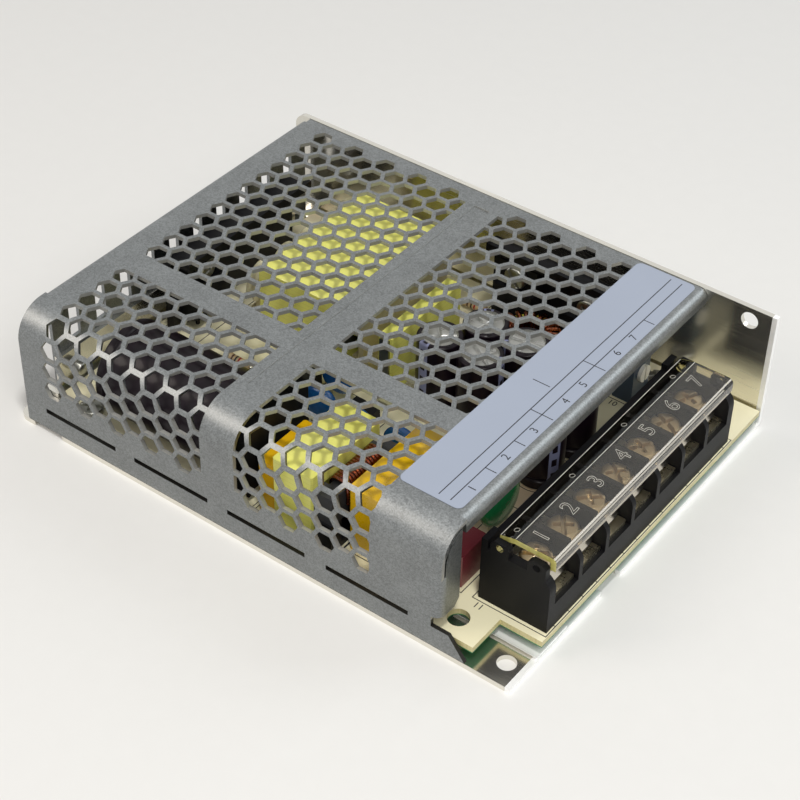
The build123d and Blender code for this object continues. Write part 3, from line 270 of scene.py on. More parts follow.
# Finishes
def galvanised_sheet(base):
    """Matt zinc skin: a fine spangle of cells over a cloudy grey, brighter on some cells.

    The cut walls of the punched holes carry a painted highlight: a paler, less metallic grey, as if they
    caught the light. In the side's low slots they carry painted shade instead, dark as if unlit. The cross
    rib's pressed groove has soft flanks, whose height rises smoothly with the distance from its middle line.
    """
    finish = Finish("galvanised_sheet", base, 0.36, metallic=1.0)
    low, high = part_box("cover")
    sheet, slot_top, groove_offset = mm(0.93, 8.0, 6.85)
    x, y, z = finish.axes()
    _, across, up = finish.parts(finish.coordinates("Normal"))
    on_top = z.above(high.z - sheet) * up.absolute().below(0.5)
    on_side = y.below(low.y + sheet) * across.absolute().below(0.5)
    cut = on_top.most(on_side)
    # Painted shade: the cut walls of the side's low slots get a dark grey, as if unlit.
    slots = on_side * z.below(slot_top)
    groove = (x + groove_offset).absolute().ramp(1.0 * MM, 2.9 * MM)
    groove = groove * y.ramp(low.y + 11.5 * MM, low.y + 14 * MM)
    spangle, cloud, grain = finish.cells(3600), finish.noise(160, 4), finish.noise(5200, 3)
    shade = (spangle * 0.35 + cloud * 0.3 + grain * 0.35).ramp(0.12, 0.88)
    # Painted highlight: the cut walls take a paler grey, and on the next line half the metal, as if catching
    # the light.
    skin = finish.mix(cut, finish.shades(shade, base, 0.7, 1.32), 0xA6A6A2)
    finish.set("Metallic", 1 - cut * 0.5)
    return finish.done(finish.mix(slots, skin, 0x2E2D2A), 0.30 + spangle * 0.10 + grain * 0.12,
                       grain + spangle * 0.6 + groove * 16, 0.012)


def bright_sheet(base):
    """Rolled bright sheet: long scratches along x, faint smudges on a near mirror, and a painted highlight on
    the front edge.
    """
    finish = Finish("bright_sheet", base, 0.14, metallic=0.95)
    scratch = finish.noise(1.0, 3, (60, 4200, 4200))
    smudge = finish.noise(35, 4)
    # Painted highlight: a white, rougher band along the front edge stands in for the glare on it.
    painted_glare_edge = finish.axes()[0].above(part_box("chassis")[1].x - 1.1 * MM)
    skin = finish.mix(painted_glare_edge, finish.shades(smudge, base, 0.86, 1.05), 0xFAFAFA)
    roughness = 0.15 + scratch.ramp(0.5, 0.8) * 0.12 + smudge.ramp(0.4, 0.8) * 0.14 + painted_glare_edge * 0.42
    return finish.done(skin, roughness, scratch, 0.004, 0.5)


def label_film(base):
    """Satin film with a faint grain."""
    finish = Finish("label_film", base, 0.42, coat_weight=0.15, coat_roughness=0.3)
    cloud, grain = finish.noise(60, 3), finish.noise(3000, 2)
    return finish.done(finish.shades(cloud, base, 0.96, 1.04), 0.36 + grain * 0.12, grain, 0.004)


def mottled(name, base, dark, light, noise, roughness, depth=0.0, **plain):
    """Plain stuff mottled between two colours.

    noise is its scale and detail, and roughness its mean, its least and its spread over the mottling.
    """
    finish = Finish(name, base, roughness[0], **plain)
    grain = finish.noise(*noise)
    roughness = roughness[1] + grain * roughness[2]
    return finish.done(finish.mix(grain, dark, light), roughness, grain if depth else None, depth)


def printed_ink():
    """Matt black print with slightly uneven cover."""
    return mottled("printed_ink", 0x16171C, 0x0E0F13, 0x26272E, (2600, 2), (0.5, 0.42, 0.2))


def board_face(base):
    """Cream component side with a faint blush, green solder side, and tan cut edges between them."""
    finish = Finish("board_face", base, 0.4, coat_weight=0.25, coat_roughness=0.25)
    low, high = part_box("board")
    z = finish.axes()[2]
    fibre = finish.noise(1.0, 2, (2600, 300, 300))
    cloud = finish.noise(45, 3)
    blush = finish.noise(38, 2).ramp(0.62, 0.74)
    cream = finish.mix(blush * 0.35, finish.shades(cloud, base, 0.9, 1.06), 0xF2B79A)
    green = finish.mix(cloud, 0x0E5A30, 0x1F8A4C)
    edge = finish.mix(fibre, 0xB9AC74, 0xE3DAA8)
    skin = finish.mix(z.above(high.z - 0.02 * MM), edge, cream)
    skin = finish.mix(z.below(low.z + 0.25 * MM), skin, green)
    return finish.done(skin, 0.34 + fibre * 0.16, fibre, 0.01, 0.5)


def moulded(name, base, roughness, grain_depth=0.012, gloss=0.0, shine=0.5):
    """Moulded plastic: fine eroded grain and slightly uneven gloss."""
    finish = Finish(name, base, roughness, coat_weight=gloss, coat_roughness=0.15, specular_ior_level=shine)
    grain, cloud = finish.noise(3400, 3), finish.noise(70, 3)
    gloss = (roughness - 0.07) + cloud * 0.08 + grain * 0.08
    return finish.done(finish.shades(cloud, base, 0.85, 1.15), gloss, grain, grain_depth)


def clear_plastic():
    """Clear moulded plastic, olive at both cut ends, with faint flow marks and only a faint shadow."""
    finish = Finish("clear_plastic", 0xD8D2C4, 0.03, transmission_weight=1.0, ior=1.49,
                    specular_ior_level=0.35)
    low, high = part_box("terminal_lid")
    y, cut = finish.axes()[1], 1.75 * MM
    ends = y.below(low.y + cut).most(y.above(high.y - cut))
    flow = finish.noise(1.0, 2, (240, 60, 240))
    finish.set("Alpha", 1 - finish.node("ShaderNodeLightPath", output="Is Shadow Ray") * 0.88)
    skin = finish.mix(ends, 0xDAD4C8, 0xB3AC58)
    return finish.done(skin, 0.015 + flow.ramp(0.5, 0.9) * 0.05, flow, 0.02, 0.4)


def plated(name, base, roughness):
    """Plated steel: brushed a little, duller in patches."""
    finish = Finish(name, base, roughness, metallic=1.0)
    patch = finish.noise(420, 3)
    brushed = finish.noise(1.0, 2, (500, 5200, 500))
    dull = (roughness - 0.08) + patch * 0.14 + brushed * 0.06
    return finish.done(finish.shades(patch, base, 0.8, 1.1), dull, brushed, 0.005, 0.5)


def polyester_tape(base):
    """Glossy tape over a soft winding: shallow creases, and darker lines where its turns end."""
    finish = Finish("polyester_tape", base, 0.32, coat_weight=0.35, coat_roughness=0.12)
    z = finish.axes()[2]
    crease = finish.noise(1.0, 3, (150, 520, 150))
    wrinkle = finish.noise(900, 2)
    ends = (z * 900).fraction().within(0.0, 0.12)
    skin = finish.mix(ends * 0.2, finish.shades(crease, base, 0.9, 1.06), tone(base, 0.5))
    return finish.done(skin, 0.22 + crease * 0.2, crease + wrinkle * 0.3, 0.07)


def can_sleeve(base):
    """Shrink sleeve with a pale stripe of dashes down one side."""
    finish = Finish("can_sleeve", base, 0.36, coat_weight=0.1, coat_roughness=0.12, specular_ior_level=0.22)
    around, along, _ = finish.parts(finish.coordinates("UV"))
    cloud = finish.noise(160, 2)
    stripe = around.within(0.57, 0.65)
    dash = stripe * around.within(0.59, 0.63) * (along * 0.28).fraction().within(0.2, 0.7)
    skin = finish.mix(stripe, finish.shades(cloud, base, 0.7, 1.3), 0x8E93B4)
    return finish.done(finish.mix(dash, skin, tone(base, 1.0)), 0.3 + cloud * 0.12, cloud, 0.03)


def enamelled_copper(name, base):
    """Enamelled wire: copper under a glossy coat, a little uneven along its length."""
    return mottled(name, base, tone(base, 0.6), tone(base, 1.3), (700, 3), (0.25, 0.18, 0.16),
                   metallic=1.0, coat_weight=0.8, coat_roughness=0.06)


def dipped_coat(name, base):
    """Dipped epoxy: glossy, slightly lumpy, and darker towards the board."""
    finish = Finish(name, base, 0.24, coat_weight=0.6, coat_roughness=0.08)
    z, floor = finish.axes()[2], board_top()
    lump = finish.noise(520, 3)
    coat = finish.shades(lump, base, 0.75, 1.2)
    skin = finish.mix(z.ramp(floor + 0.5 * MM, floor + 3 * MM), tone(base, 0.55), coat)
    return finish.done(skin, 0.16 + lump * 0.16, lump, 0.06)


def floor_paper(base):
    """Plain pale studio paper with a hardly visible grain."""
    return mottled("floor_paper", base, tone(base, 0.985), tone(base, 1.01), (220, 3), (0.85, 0.85, 0))


# Shapes on a grid
def grid_faces(rows, columns, closed=True):
    """Quads between neighbouring points of a grid, joined round its second direction if it is closed."""
    across = columns if closed else columns - 1
    row, column = np.meshgrid(np.arange(rows - 1), np.arange(across), indexing="ij")
    beside = (column + 1) % columns
    corners = [row * columns + column, row * columns + beside,
               (row + 1) * columns + beside, (row + 1) * columns + column]
    return np.stack(corners, -1).reshape(-1, 4)


def placed(name, data):
    """A new object in the scene."""
    thing = bpy.data.objects.new(name, data)
    bpy.context.scene.collection.objects.link(thing)
    return thing


def make_piece(name, parts, finishes, body="case", unrolled=None, chosen=None, crease=35, flat=False):
    """Joins (points, faces) pairs into one mesh object at the origin and lets it ride.

    Its seams and poles are closed and it is smooth up to the crease angle, but a flat piece keeps every edge.
    """
    points, faces = joined(parts)
    mesh = bpy.data.meshes.new(name)
    mesh.from_pydata(points, [], [face[:3] if face[2] == face[3] else face for face in faces.tolist()])
    for finish in finishes:
        mesh.materials.append(finish)
    if chosen is not None:
        mesh.polygons.foreach_set("material_index", chosen.astype(np.int32))
    if unrolled is not None:
        layer = mesh.uv_layers.new(name="unrolled")
        layer.data.foreach_set("uv", unrolled.astype(np.float32).ravel())
    work = bmesh.new()
    work.from_mesh(mesh)
    if not flat:
        bmesh.ops.remove_doubles(work, verts=work.verts, dist=0.0005 * MM)
    bmesh.ops.recalc_face_normals(work, faces=work.faces)
    work.to_mesh(mesh)
    work.free()
    if not flat:
        mesh.polygons.foreach_set("use_smooth", np.ones(len(mesh.polygons), bool))
        mesh.set_sharp_from_angle(angle=math.radians(crease))
    mesh.validate()
    piece = placed(name, mesh)
    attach(piece, body)
    return piece


def joined(parts):
    """Several (points, faces) pairs as one pair."""
    points, faces, start = [], [], 0
    for part_points, part_faces in parts:
        points.append(part_points.reshape(-1, 3))
        faces.append(part_faces + start)
        start += len(points[-1])
    return np.concatenate(points), np.concatenate(faces)


def moved(part, by):
    """A (points, faces) pair moved by a vector."""
    return part[0] + np.array(by), part[1]


def spun(points, angle):
    """Points turned about z by an angle."""
    cos, sin = math.cos(angle), math.sin(angle)
    return points @ np.array([[cos, sin, 0], [-sin, cos, 0], [0, 0, 1]])


def revolved(profile, steps, axis="z"):
    """A profile of (radius, height) turned about an axis: (r cos a, r sin a, h), laid along that axis."""
    radius = profile[:, 0][:, None]
    height = np.repeat(profile[:, 1][:, None], steps, 1)
    angle = np.linspace(0, 2 * np.pi, steps, endpoint=False)[None, :]
    a, b = radius * np.cos(angle), radius * np.sin(angle)
    order = {"x": (height, a, b), "y": (b, height, a), "z": (a, b, height)}[axis]
    return np.stack(order, -1), grid_faces(len(profile), steps)


def ring(inner, outer, bottom, top, steps):
    """A ring of rectangular section about z."""
    corners = [(inner, bottom), (outer, bottom), (outer, top), (inner, top), (inner, bottom)]
    return revolved(np.array(corners), steps)


def unroll(profile, steps):
    """Corner coordinates for a turned profile: the share of a turn, and the run along the profile in mm."""
    run = np.concatenate([[0], np.cumsum(np.hypot(*np.diff(profile, axis=0).T))]) / MM
    faces = grid_faces(len(profile), steps)
    row, column = faces // steps, faces % steps
    share = column / steps
    share = np.where((column == 0) & (column[:, :1] == steps - 1), 1.0, share)
    return np.stack([share, run[row]], -1).reshape(-1, 2)


def arc(centre, radius, start, end, count):
    """Points of a circular arc between two angles in degrees."""
    angle = np.radians(np.linspace(start, end, count))
    return np.stack([centre[0] + radius * np.cos(angle), centre[1] + radius * np.sin(angle)], 1)


def wire(path, out, radius, sides=10, closed=False):
    """A round wire along a path: path + r cos a times out + r sin a times (tangent x out)."""
    if closed:
        ahead = np.roll(path, -1, 0) - np.roll(path, 1, 0)
    else:
        ahead = np.gradient(path, axis=0)
    ahead /= np.linalg.norm(ahead, axis=1)[:, None]
    out = out - ahead * np.sum(out * ahead, 1)[:, None]
    out /= np.linalg.norm(out, axis=1)[:, None]
    side = np.cross(ahead, out)
    angle = np.linspace(0, 2 * np.pi, sides, endpoint=False)[None, :, None]
    points = path[:, None] + radius * (np.cos(angle) * out[:, None] + np.sin(angle) * side[:, None])
    if closed:
        points = np.concatenate([points, points[:1]])
    return points, grid_faces(len(points), sides)


def lead(line, y, radius, sides):
    """A round wire along a line of (x, z) points at one y."""
    return wire(np.insert(np.array(line), 1, y, axis=1), (0, 1, 0), radius, sides)


def capped(loops):
    """A run of closed loops with a pole at each end, as points and quads."""
    loops = np.array(loops)
    ends = [np.repeat(loop.mean(0)[None], len(loop), 0) for loop in (loops[0], loops[-1])]
    rows = np.stack([ends[0], *loops, ends[1]])
    return rows, grid_faces(*rows.shape[:2])


def brick(low, high):
    """A box between two corners, as eight points and six quads."""
    low, high = np.array(low, float), np.array(high, float)
    pick = np.array([[(k >> 2) & 1, (k >> 1) & 1, k & 1] for k in range(8)])
    points = np.where(pick == 1, high, low)
    faces = np.array([[0, 1, 3, 2], [4, 6, 7, 5], [0, 4, 5, 1], [2, 3, 7, 6], [0, 2, 6, 4], [1, 5, 7, 3]])
    return points, faces


def fetched(items, key, width, kind=float):
    """One property of all of a mesh's items, as the rows of an array."""
    values = np.empty(len(items) * width, kind)
    items.foreach_get(key, values)
    return values.reshape(-1, width)


def lettering(number, height, right, at, thickness=0.0, line=0.0):
    """A number lying flat round a place, its x along right: solid, or drawn in round lines.

    Its triangles are written as quads with a repeated corner.
    """
    digit_share = 0.73
    curve = bpy.data.curves.new("lettering", "FONT")
    curve.body = str(number)
    curve.size = height / digit_share
    curve.align_x = "CENTER"
    curve.align_y = "CENTER"
    curve.resolution_u = 4
    if line:
        curve.fill_mode = "NONE"
        curve.bevel_depth = line
        curve.bevel_resolution = 1
    else:
        curve.extrude = thickness / 2
    holder = bpy.data.objects.new("lettering", curve)
    mesh = bpy.data.meshes.new_from_object(holder)
    mesh.calc_loop_triangles()
    points = fetched(mesh.vertices, "co", 3)
    corners = fetched(mesh.loop_triangles, "vertices", 3, np.int32)
    bpy.data.objects.remove(holder)
    bpy.data.curves.remove(curve)
    bpy.data.meshes.remove(mesh)
    axes = np.array([right, np.cross((0, 0, 1), right), (0, 0, 1)], float)
    return points @ axes + np.array(at), corners[:, [0, 1, 2, 2]]


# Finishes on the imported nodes
def dress(finish, *nodes):
    """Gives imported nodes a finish."""
    for node in nodes:
        slots = frame["nodes"][node].data.materials
        slots.clear()
        slots.append(finish)


def numbered(name):
    """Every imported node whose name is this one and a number."""
    start = name + "_"
    return sorted(node for node in frame["nodes"] if node.startswith(start) and node[len(start):].isdigit())


def board_top():
    """Level of the board's component side."""
    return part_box("board")[1].z


def dress_sheets(sizes, colours):
    dress(galvanised_sheet(colours.cover), "cover")
    dress(bright_sheet(colours.chassis), "chassis")
    dress(plated("zinc_steel", 0xA9A9A2, 0.34), "standoffs")
    dress(moulded("insulating_film", 0xC9C8BC, 0.35), "insulation_sheet")


def dress_board(sizes, colours):
    dress(board_face(colours.board), "board")
    dress(moulded("moulding_compound", 0x121214, 0.5, shine=0.25), "primary_transistor",
          "bridge_rectifier", "controller", *numbered("output_rectifier"), *numbered("optocoupler"))
    dress(moulded("dark_anodised", 0x121215, 0.42, shine=0.22), "primary_heatsink", "output_heatsink")
    dress(moulded("fuse_red", 0x722430, 0.36, 0.03, gloss=0.3), "fuse")
    dress(moulded("trimmer_housing", 0x2F4358, 0.35), "trimmer_body")
    dress(moulded("trimmer_rotor", 0xEDEBE0, 0.4), "trimmer_rotor")
    dress(plated("shield_steel", 0x8E8E88, 0.3), "shield_bar")


def dress_terminals(sizes, colours):
    dress(moulded("terminal_black", 0x0D0D0F, 0.46, 0.008, shine=0.16), "terminal_block")
    dress(plated("tinned_brass", 0xC9C2A8, 0.26), "terminal_contacts")
    dress(plated("nickel_plate", 0xCFC8BA, 0.18), "terminal_clamps")
    dress(clear_plastic(), "terminal_lid")


def dress_wound_parts(sizes, colours):
    dress(polyester_tape(colours.tape), "transformer_tape", "transformer_winding", "shield_tape",
          "line_choke_sleeve")
    ferrite = mottled("ferrite", 0x2C2D30, 0x1D1E20, 0x3C3D41, (2600, 4), (0.6, 0.48, 0.25), 0.03)
    dress(ferrite, "transformer_core", "line_choke_core")
    dress(moulded("bobbin_cream", 0xD8CDA4, 0.4), "transformer_bobbin")
    dress(moulded("choke_base", 0x18181B, 0.45, shine=0.3), "line_choke_base")
    dress(moulded("film_box", colours.film, 0.28, 0.015, 0.5), "x_capacitor")
    dress(moulded("small_film_box", 0xFFC010, 0.3, 0.015, 0.4), "small_x_capacitor")


# Label
def rounded_sheet(low, high, radius, bottom, top, steps=8):
    """A thin sheet between two levels, whose outline is a rectangle with an arc at each corner."""
    near, far = (low.x + radius, low.y + radius), (high.x - radius, high.y - radius)
    corners = (far, (near[0], far[1]), near, (far[0], near[1]))
    arcs = [arc(corner, radius, 90 * k, 90 * k + 90, steps) for k, corner in enumerate(corners)]
    return capped([np.insert(np.concatenate(arcs), 2, level, axis=1) for level in (bottom, top)])


def printed_lines(spans, level, thickness):
    """Thin bricks over flat spans, each given as x0, x1, y0, y1."""
    return [brick((a, c, level), (b, d, level + thickness)) for a, b, c, d in spans]


def label_rules(low, high, width, level, thickness):
    """Rules across the label: two long ones, short dividers, and one ruled-off name field."""
    first, second, end = high.x - 5.7 * MM, high.x - 3.0 * MM, high.x - 0.4 * MM
    half, margin = width / 2, 1.2 * MM
    spans = [(x - half, x + half, low.y + margin, high.y - margin) for x in (first, second)]
    dividers = ((0.144, second, end), (0.256, second, end), (0.367, first, end), (0.587, first, end),
                (0.806, second, end), (0.459, low.x + 3.9 * MM, low.x + 8.0 * MM))
    for share, start, stop in dividers:
        y = low.y + share * (high.y - low.y)
        spans.append((start, stop, y - half, y + half))
    return printed_lines(spans, level, thickness)


def build_label(sizes, colours):
    """The label film with its printed rules and plain terminal numbers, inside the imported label's box."""
    low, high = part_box("label")
    top, thickness = high.z - 0.02 * MM, 0.004 * MM
    sheet = rounded_sheet(low, high, 1.4 * MM, low.z + 0.005 * MM, top)
    film = make_piece("label_film", [sheet], [label_film(colours.label)])
    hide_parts("label")
    parts = label_rules(low, high, sizes.rule_width, top, thickness)
    for number, share in enumerate((0.072, 0.2, 0.312, 0.44, 0.514, 0.66, 0.733), 1):
        at = (high.x - 1.55 * MM, low.y + share * (high.y - low.y), top + thickness / 2)
        parts.append(lettering(number, 1.9 * MM, (0, 1, 0), at, thickness))
    make_piece("label_print", parts, [printed_ink()], flat=True)


# Board print
def board_stations():
    """Nodes that stand on the board and have an outline printed round their foot."""
    names = ["transformer_bobbin", "bulk_capacitor", "x_capacitor", "small_x_capacitor", "fuse", "varistor",
             "line_choke_base", "bridge_rectifier", "controller", "trimmer_body", "terminal_block",
             "primary_heatsink", "output_heatsink"]
    return names + numbered("disc_capacitor") + numbered("optocoupler")


def build_board_print(sizes, colours):
    """Printed outlines round the parts, rings round the cans and small numbers beside them."""
    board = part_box("board")
    gap, thickness, width, margin, inset = mm(0.005, 0.01, 0.2, 0.9, 0.1)
    level = board_top() + gap
    parts = []
    for number, node in enumerate(board_stations(), 1):
        low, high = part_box(node)
        a, c = [max(low[k] - margin, board[0][k] + inset) for k in (0, 1)]
        b, d = [min(high[k] + margin, board[1][k] - inset) for k in (0, 1)]
        sides = [(a, b, c, c + width), (a, b, d - width, d), (a, a + width, c, d), (b - width, b, c, d)]
        parts += printed_lines(sides, level, thickness)
        at = (low.x + 1.5 * MM, low.y - margin - 1.2 * MM, level)
        parts.append(lettering(number, 1.6 * MM, (1, 0, 0), at, thickness))
    for node in numbered("output_capacitor"):
        low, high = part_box(node)
        middle, radius = (low + high) / 2, (high.x - low.x) / 2 + 0.5 * MM
        parts.append(moved(ring(radius - width, radius, 0, thickness, 48), (middle.x, middle.y, level)))
    low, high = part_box("terminal_block")
    count = 2 * len(openings())
    for number in range(count):
        y = low.y + (number + 0.5) * (high.y - low.y) / count
        parts += printed_lines([(high.x - 0.2 * MM, board[1].x - inset, y, y + 0.22 * MM)], level, thickness)
    make_piece("board_print", parts, [printed_ink()], flat=True)


# Terminals
def openings():
    """Boxes of the wire openings of the terminal block, as low and high corners."""
    found = frame["record"]["physics"]["openings"]
    return [opening["box_m"] for opening in found if opening["name"].startswith("station_")]


def lid_section(low, high):
    """Outer and inner points of the lid's side view in pairs: rear slope, flat top, turned-down front."""
    thick, corner, slope, drop, skirt = mm(1.2, 1.1, 3.4, 0.9, 3.0)
    knee, top, front, bottom = low.x + slope, high.z, high.x, high.z - skirt
    turn = arc((front - corner, top - corner), corner, 90, 0, 6)
    outer = [(low.x, top - drop), (knee, top), *turn, (front, bottom)]
    inner = [(low.x, top - drop - thick), (knee, top - thick), *[(front - thick, top - thick)] * len(turn),
             (front - thick, bottom)]
    return list(zip(outer, inner))


def build_film_tongue(sizes, colours):
    """White film on the plate under the board's front: its near edge curls up by exp(-run / curl)."""
    sheet, board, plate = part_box("insulation_sheet"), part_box("board"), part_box("chassis")
    gap, rise, curl, thickness, rear, near_edge = mm(0.01, 0.45, 0.6, 0.2, 102.7, 7.9)
    start, end = board[0].x + rear, plate[1].x - 0.3 * MM
    loops = []
    for run in np.array([0, 0.25, 0.6, 1.1, 1.8, 3.0, 11.0]) * MM:
        y, foot = board[0].y + near_edge + run, sheet[0].z + gap + rise * np.exp(-run / curl)
        top = foot + thickness
        loops.append([(start, y, top), (end, y, top), (end, y, foot), (start, y, foot)])
    finish = moulded("white_film", 0xF4F4F0, 0.3, 0.006, gloss=0.2)
    make_piece("film_tongue", [capped(loops)], [finish])


def build_lid_edges(sizes, colours):
    """Olive cut edges at both ends of the lid, as thin bands that follow its side view."""
    low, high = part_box("terminal_lid")
    inset, thickness, gap = mm(1.6, 0.04, 0.01)
    parts = []
    for end, side in ((low.y + inset, -1), (high.y - inset, 1)):
        near, far = end + side * gap, end + side * (gap + thickness)
        loops = [[(a[0], near, a[1]), (b[0], near, b[1]), (b[0], far, b[1]), (a[0], far, a[1])]
                 for a, b in lid_section(low, high)]
        parts.append(capped(loops))
    finish = mottled("cut_edge", 0xB8AE56, 0x8F8734, 0xDAD383, (700, 2), (0.2, 0.14, 0.15), coat_weight=0.6)
    make_piece("lid_edges", parts, [finish], "lid")


def build_lid_marks(sizes, colours):
    """Outlined digits and small rings moulded into the clear lid, and pale wires along the sloped strip's two
    edges as painted highlights.
    """
    low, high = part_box("terminal_lid")
    face, radius, slope = high.z + 0.01 * MM, 0.55 * MM, 0.265
    around = np.linspace(0, 2 * np.pi, 24, endpoint=False)
    out = np.stack([np.cos(around), np.sin(around), 0 * around], 1)
    digits, lines = [], []
    for number, (corner, opposite) in enumerate(openings()):
        y = (corner[1] + opposite[1]) / 2
        at = (low.x + 6.8 * MM, y - 0.8 * MM, face)
        digits.append(lettering(number + 1, sizes.digit_height, (0, 1, 0), at, line=0.055 * MM))
        if number % 2 == 0:
            loop = out * radius + np.array([low.x + 2.0 * MM, y - 2.0 * MM, face - 0.37 * MM])
            loop[:, 2] += out[:, 0] * radius * slope
            lines.append(wire(loop, out, 0.05 * MM, 6, closed=True))
    # Painted highlights: pale wires along the strip's rear edge and knee stand for the light that these edges
    # of the clear lid catch.
    run = np.linspace(low.y + 1.7 * MM, high.y - 1.7 * MM, 12)
    for x, z in ((low.x + 0.06 * MM, high.z - 0.9 * MM), (low.x + 3.4 * MM, high.z)):
        edge = np.stack([0 * run + x, run, 0 * run + z], 1)
        lines.append(capped(wire(edge, (1, 0, 0), 0.08 * MM, 8)[0]))
    finish = mottled("moulded_line", 0xDAD8CC, 0x8E8C80, 0xE9E7DC, (900, 2), (0.3, 0.2, 0.2), coat_weight=0.5)
    make_piece("lid_digits", digits, [finish], "lid", flat=True)
    make_piece("lid_lines", lines, [finish], "lid")


# Screws
def solids_of(node):
    """Boxes of a node's solids: each point takes its neighbours' lowest number until none changes."""
    holder = frame["nodes"][node]
    place = np.array(holder.matrix_world)
    points = fetched(holder.data.vertices, "co", 3) @ place[:3, :3].T + place[:3, 3]
    whole = np.round(points / (0.001 * MM)).astype(np.int64)
    keys = np.unique(whole, axis=0, return_inverse=True)[1].ravel()
    a, b = keys[fetched(holder.data.edges, "vertices", 2, np.int32)].T
    label, before = np.arange(keys.max() + 1), None
    while before is None or (before != label).any():
        before = label.copy()
        lowest = np.minimum(label[a], label[b])
        np.minimum.at(label, a, lowest)
        np.minimum.at(label, b, lowest)
    mark = label[keys]
    groups = [points[mark == k] for k in np.unique(mark)]
    return [(Vector(group.min(0)), Vector(group.max(0))) for group in groups]


def screw(radius, height, shank, length, angle):
    """A head on its shank: the top falls by (r/R)^2, and a slot and a shorter cross are pressed into it."""
    steps, bevel, dome, soft, line = 72, height * 0.3, height * 0.12, 0.02 * MM, radius * 0.13
    top = [(r, height - dome * (r / radius) ** 2) for r in np.linspace(0, radius - bevel, 30)]
    shoulder = arc((radius - bevel, height - dome - bevel), bevel, 90, 0, 6)
    rim = [(radius, height * f) for f in (0.4, 0.2, 0.0)]
    stem = [(shank, 0.0), (shank, -length + 0.3 * shank), (shank * 0.7, -length), (0.0, -length)]
    profile = np.array([*top, *shoulder, *rim, *(stem if length else [(0.0, 0.0)])])
    points, faces = revolved(profile, steps)
    x, y, z = np.abs(points[..., 0]), np.abs(points[..., 1]), points[..., 2]
    across = np.maximum(x - line, y - radius * 0.62)
    slot, cross = (1 / (1 + np.exp(np.clip(off / soft, -40, 40))) for off in (y - line, across))
    mark = np.maximum(slot, cross)
    floor = height - dome - height * 0.42 * np.maximum(slot, cross * 0.9)
    pressed = (z > 0.01 * MM) & (mark > 0.02)
    points[..., 2] = np.where(pressed, np.minimum(z, floor + dome * (1 - mark)), z)
    return spun(points, angle), faces


def build_screws(sizes, colours):
    """Turned and slotted screws in place of the plain ones, each standing where its solid stands.

    A kind is a node, the way that its heads face, their height and their shanks' radius in mm.
    """
    nickel = plated("screw_nickel", 0xC2B294, 0.28)
    zinc = plated("screw_zinc", 0xB4B4AC, 0.3)
    kinds = (("terminal_screws", (0, 0, 1), 2.2, 1.75, nickel, "nickel"),
             ("board_screws", (0, 0, 1), 1.7, 1.5, zinc, "steel"),
             ("cover_screws", (-1, 0, 0), 1.7, 1.5, zinc, "steel"),
             ("sink_screws", None, 1.7, 0, zinc, "steel"))
    for node, way, height, shank, finish, slot in kinds:
        parts = []
        for index, (low, high) in enumerate(solids_of(node)):
            size = high - low
            out = np.array(way or ((1, 0, 0) if size.x < size.y else (0, -1, 0)))
            axis = int(np.abs(out).argmax())
            right = np.eye(3)[int(axis == 0)]
            radius = max(np.delete(size, axis)) / 2
            length = size[axis] - height * MM if shank else 0
            seat = np.array((low + high) / 2)
            seat[axis] = (high if out[axis] > 0 else low)[axis] - out[axis] * height * MM
            points, faces = screw(radius, height * MM, shank * MM, length, 0.5 + 1.7 * index)
            parts.append((points @ np.array([right, np.cross(out, right), out]) + seat, faces))
        heads = make_piece(node + "_turned", parts, [finish], crease=50)
        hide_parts(node)


# Capacitors
def can_profile(radius, height):
    """Side of a can from its foot's middle to its recessed top's middle, and the number of sleeve rows."""
    bevel, groove, lip, recess, start = mm(0.6, 0.45, 1.1, 0.45, 2.6)
    foot = arc((radius - bevel, bevel), bevel, -90, 0, 5)
    waist = [(radius - groove * depth, start + groove * rise)
             for depth, rise in ((0, -1), (0.7, -0.4), (1, 0.3), (0.7, 1), (0, 1.6))]
    shoulder = arc((radius - bevel, height - bevel), bevel, 0, 90, 6)
    sleeve = [(0.0, 0.0), *foot, *waist, *shoulder]
    inner, floor = radius - lip, height - recess
    disc = [(share * (inner - 0.2 * MM), floor) for share in (1, *np.linspace(0.97, 0.0, 22))]
    return np.array([*sleeve, (inner, height - 0.02 * MM), *disc]), len(sleeve)


def scored(points, radius, level):
    """Presses a cross into a can's top: depth falls off with the distance from each of its two lines."""
    x, y, z = points[..., 0], points[..., 1], points[..., 2]
    width, depth = mm(0.28, 0.22)
    cross = np.maximum(np.exp(-(x / width) ** 2), np.exp(-(y / width) ** 2))
    on_top = (z > level - 0.01 * MM) & (np.hypot(x, y) < min(radius * 0.72, radius - 1.4 * MM))
    points[..., 2] -= np.where(on_top, depth * cross, 0)
    return points


def build_can(name, at, radius, length, finishes, angle, lying=False):
    """One round capacitor, upright or lying along x: sleeve over a turned can, and a bright scored top."""
    steps = 64
    profile, sleeve_rows = can_profile(radius, length)
    points, faces = revolved(profile, steps)
    points = spun(scored(points, radius, length - 0.45 * MM), angle)
    if lying:
        points = points[..., [2, 0, 1]]
    chosen = faces[:, 0] // steps >= sleeve_rows
    can = [moved((points, faces), at)]
    return make_piece(name, can, finishes, unrolled=unroll(profile, steps), chosen=chosen)


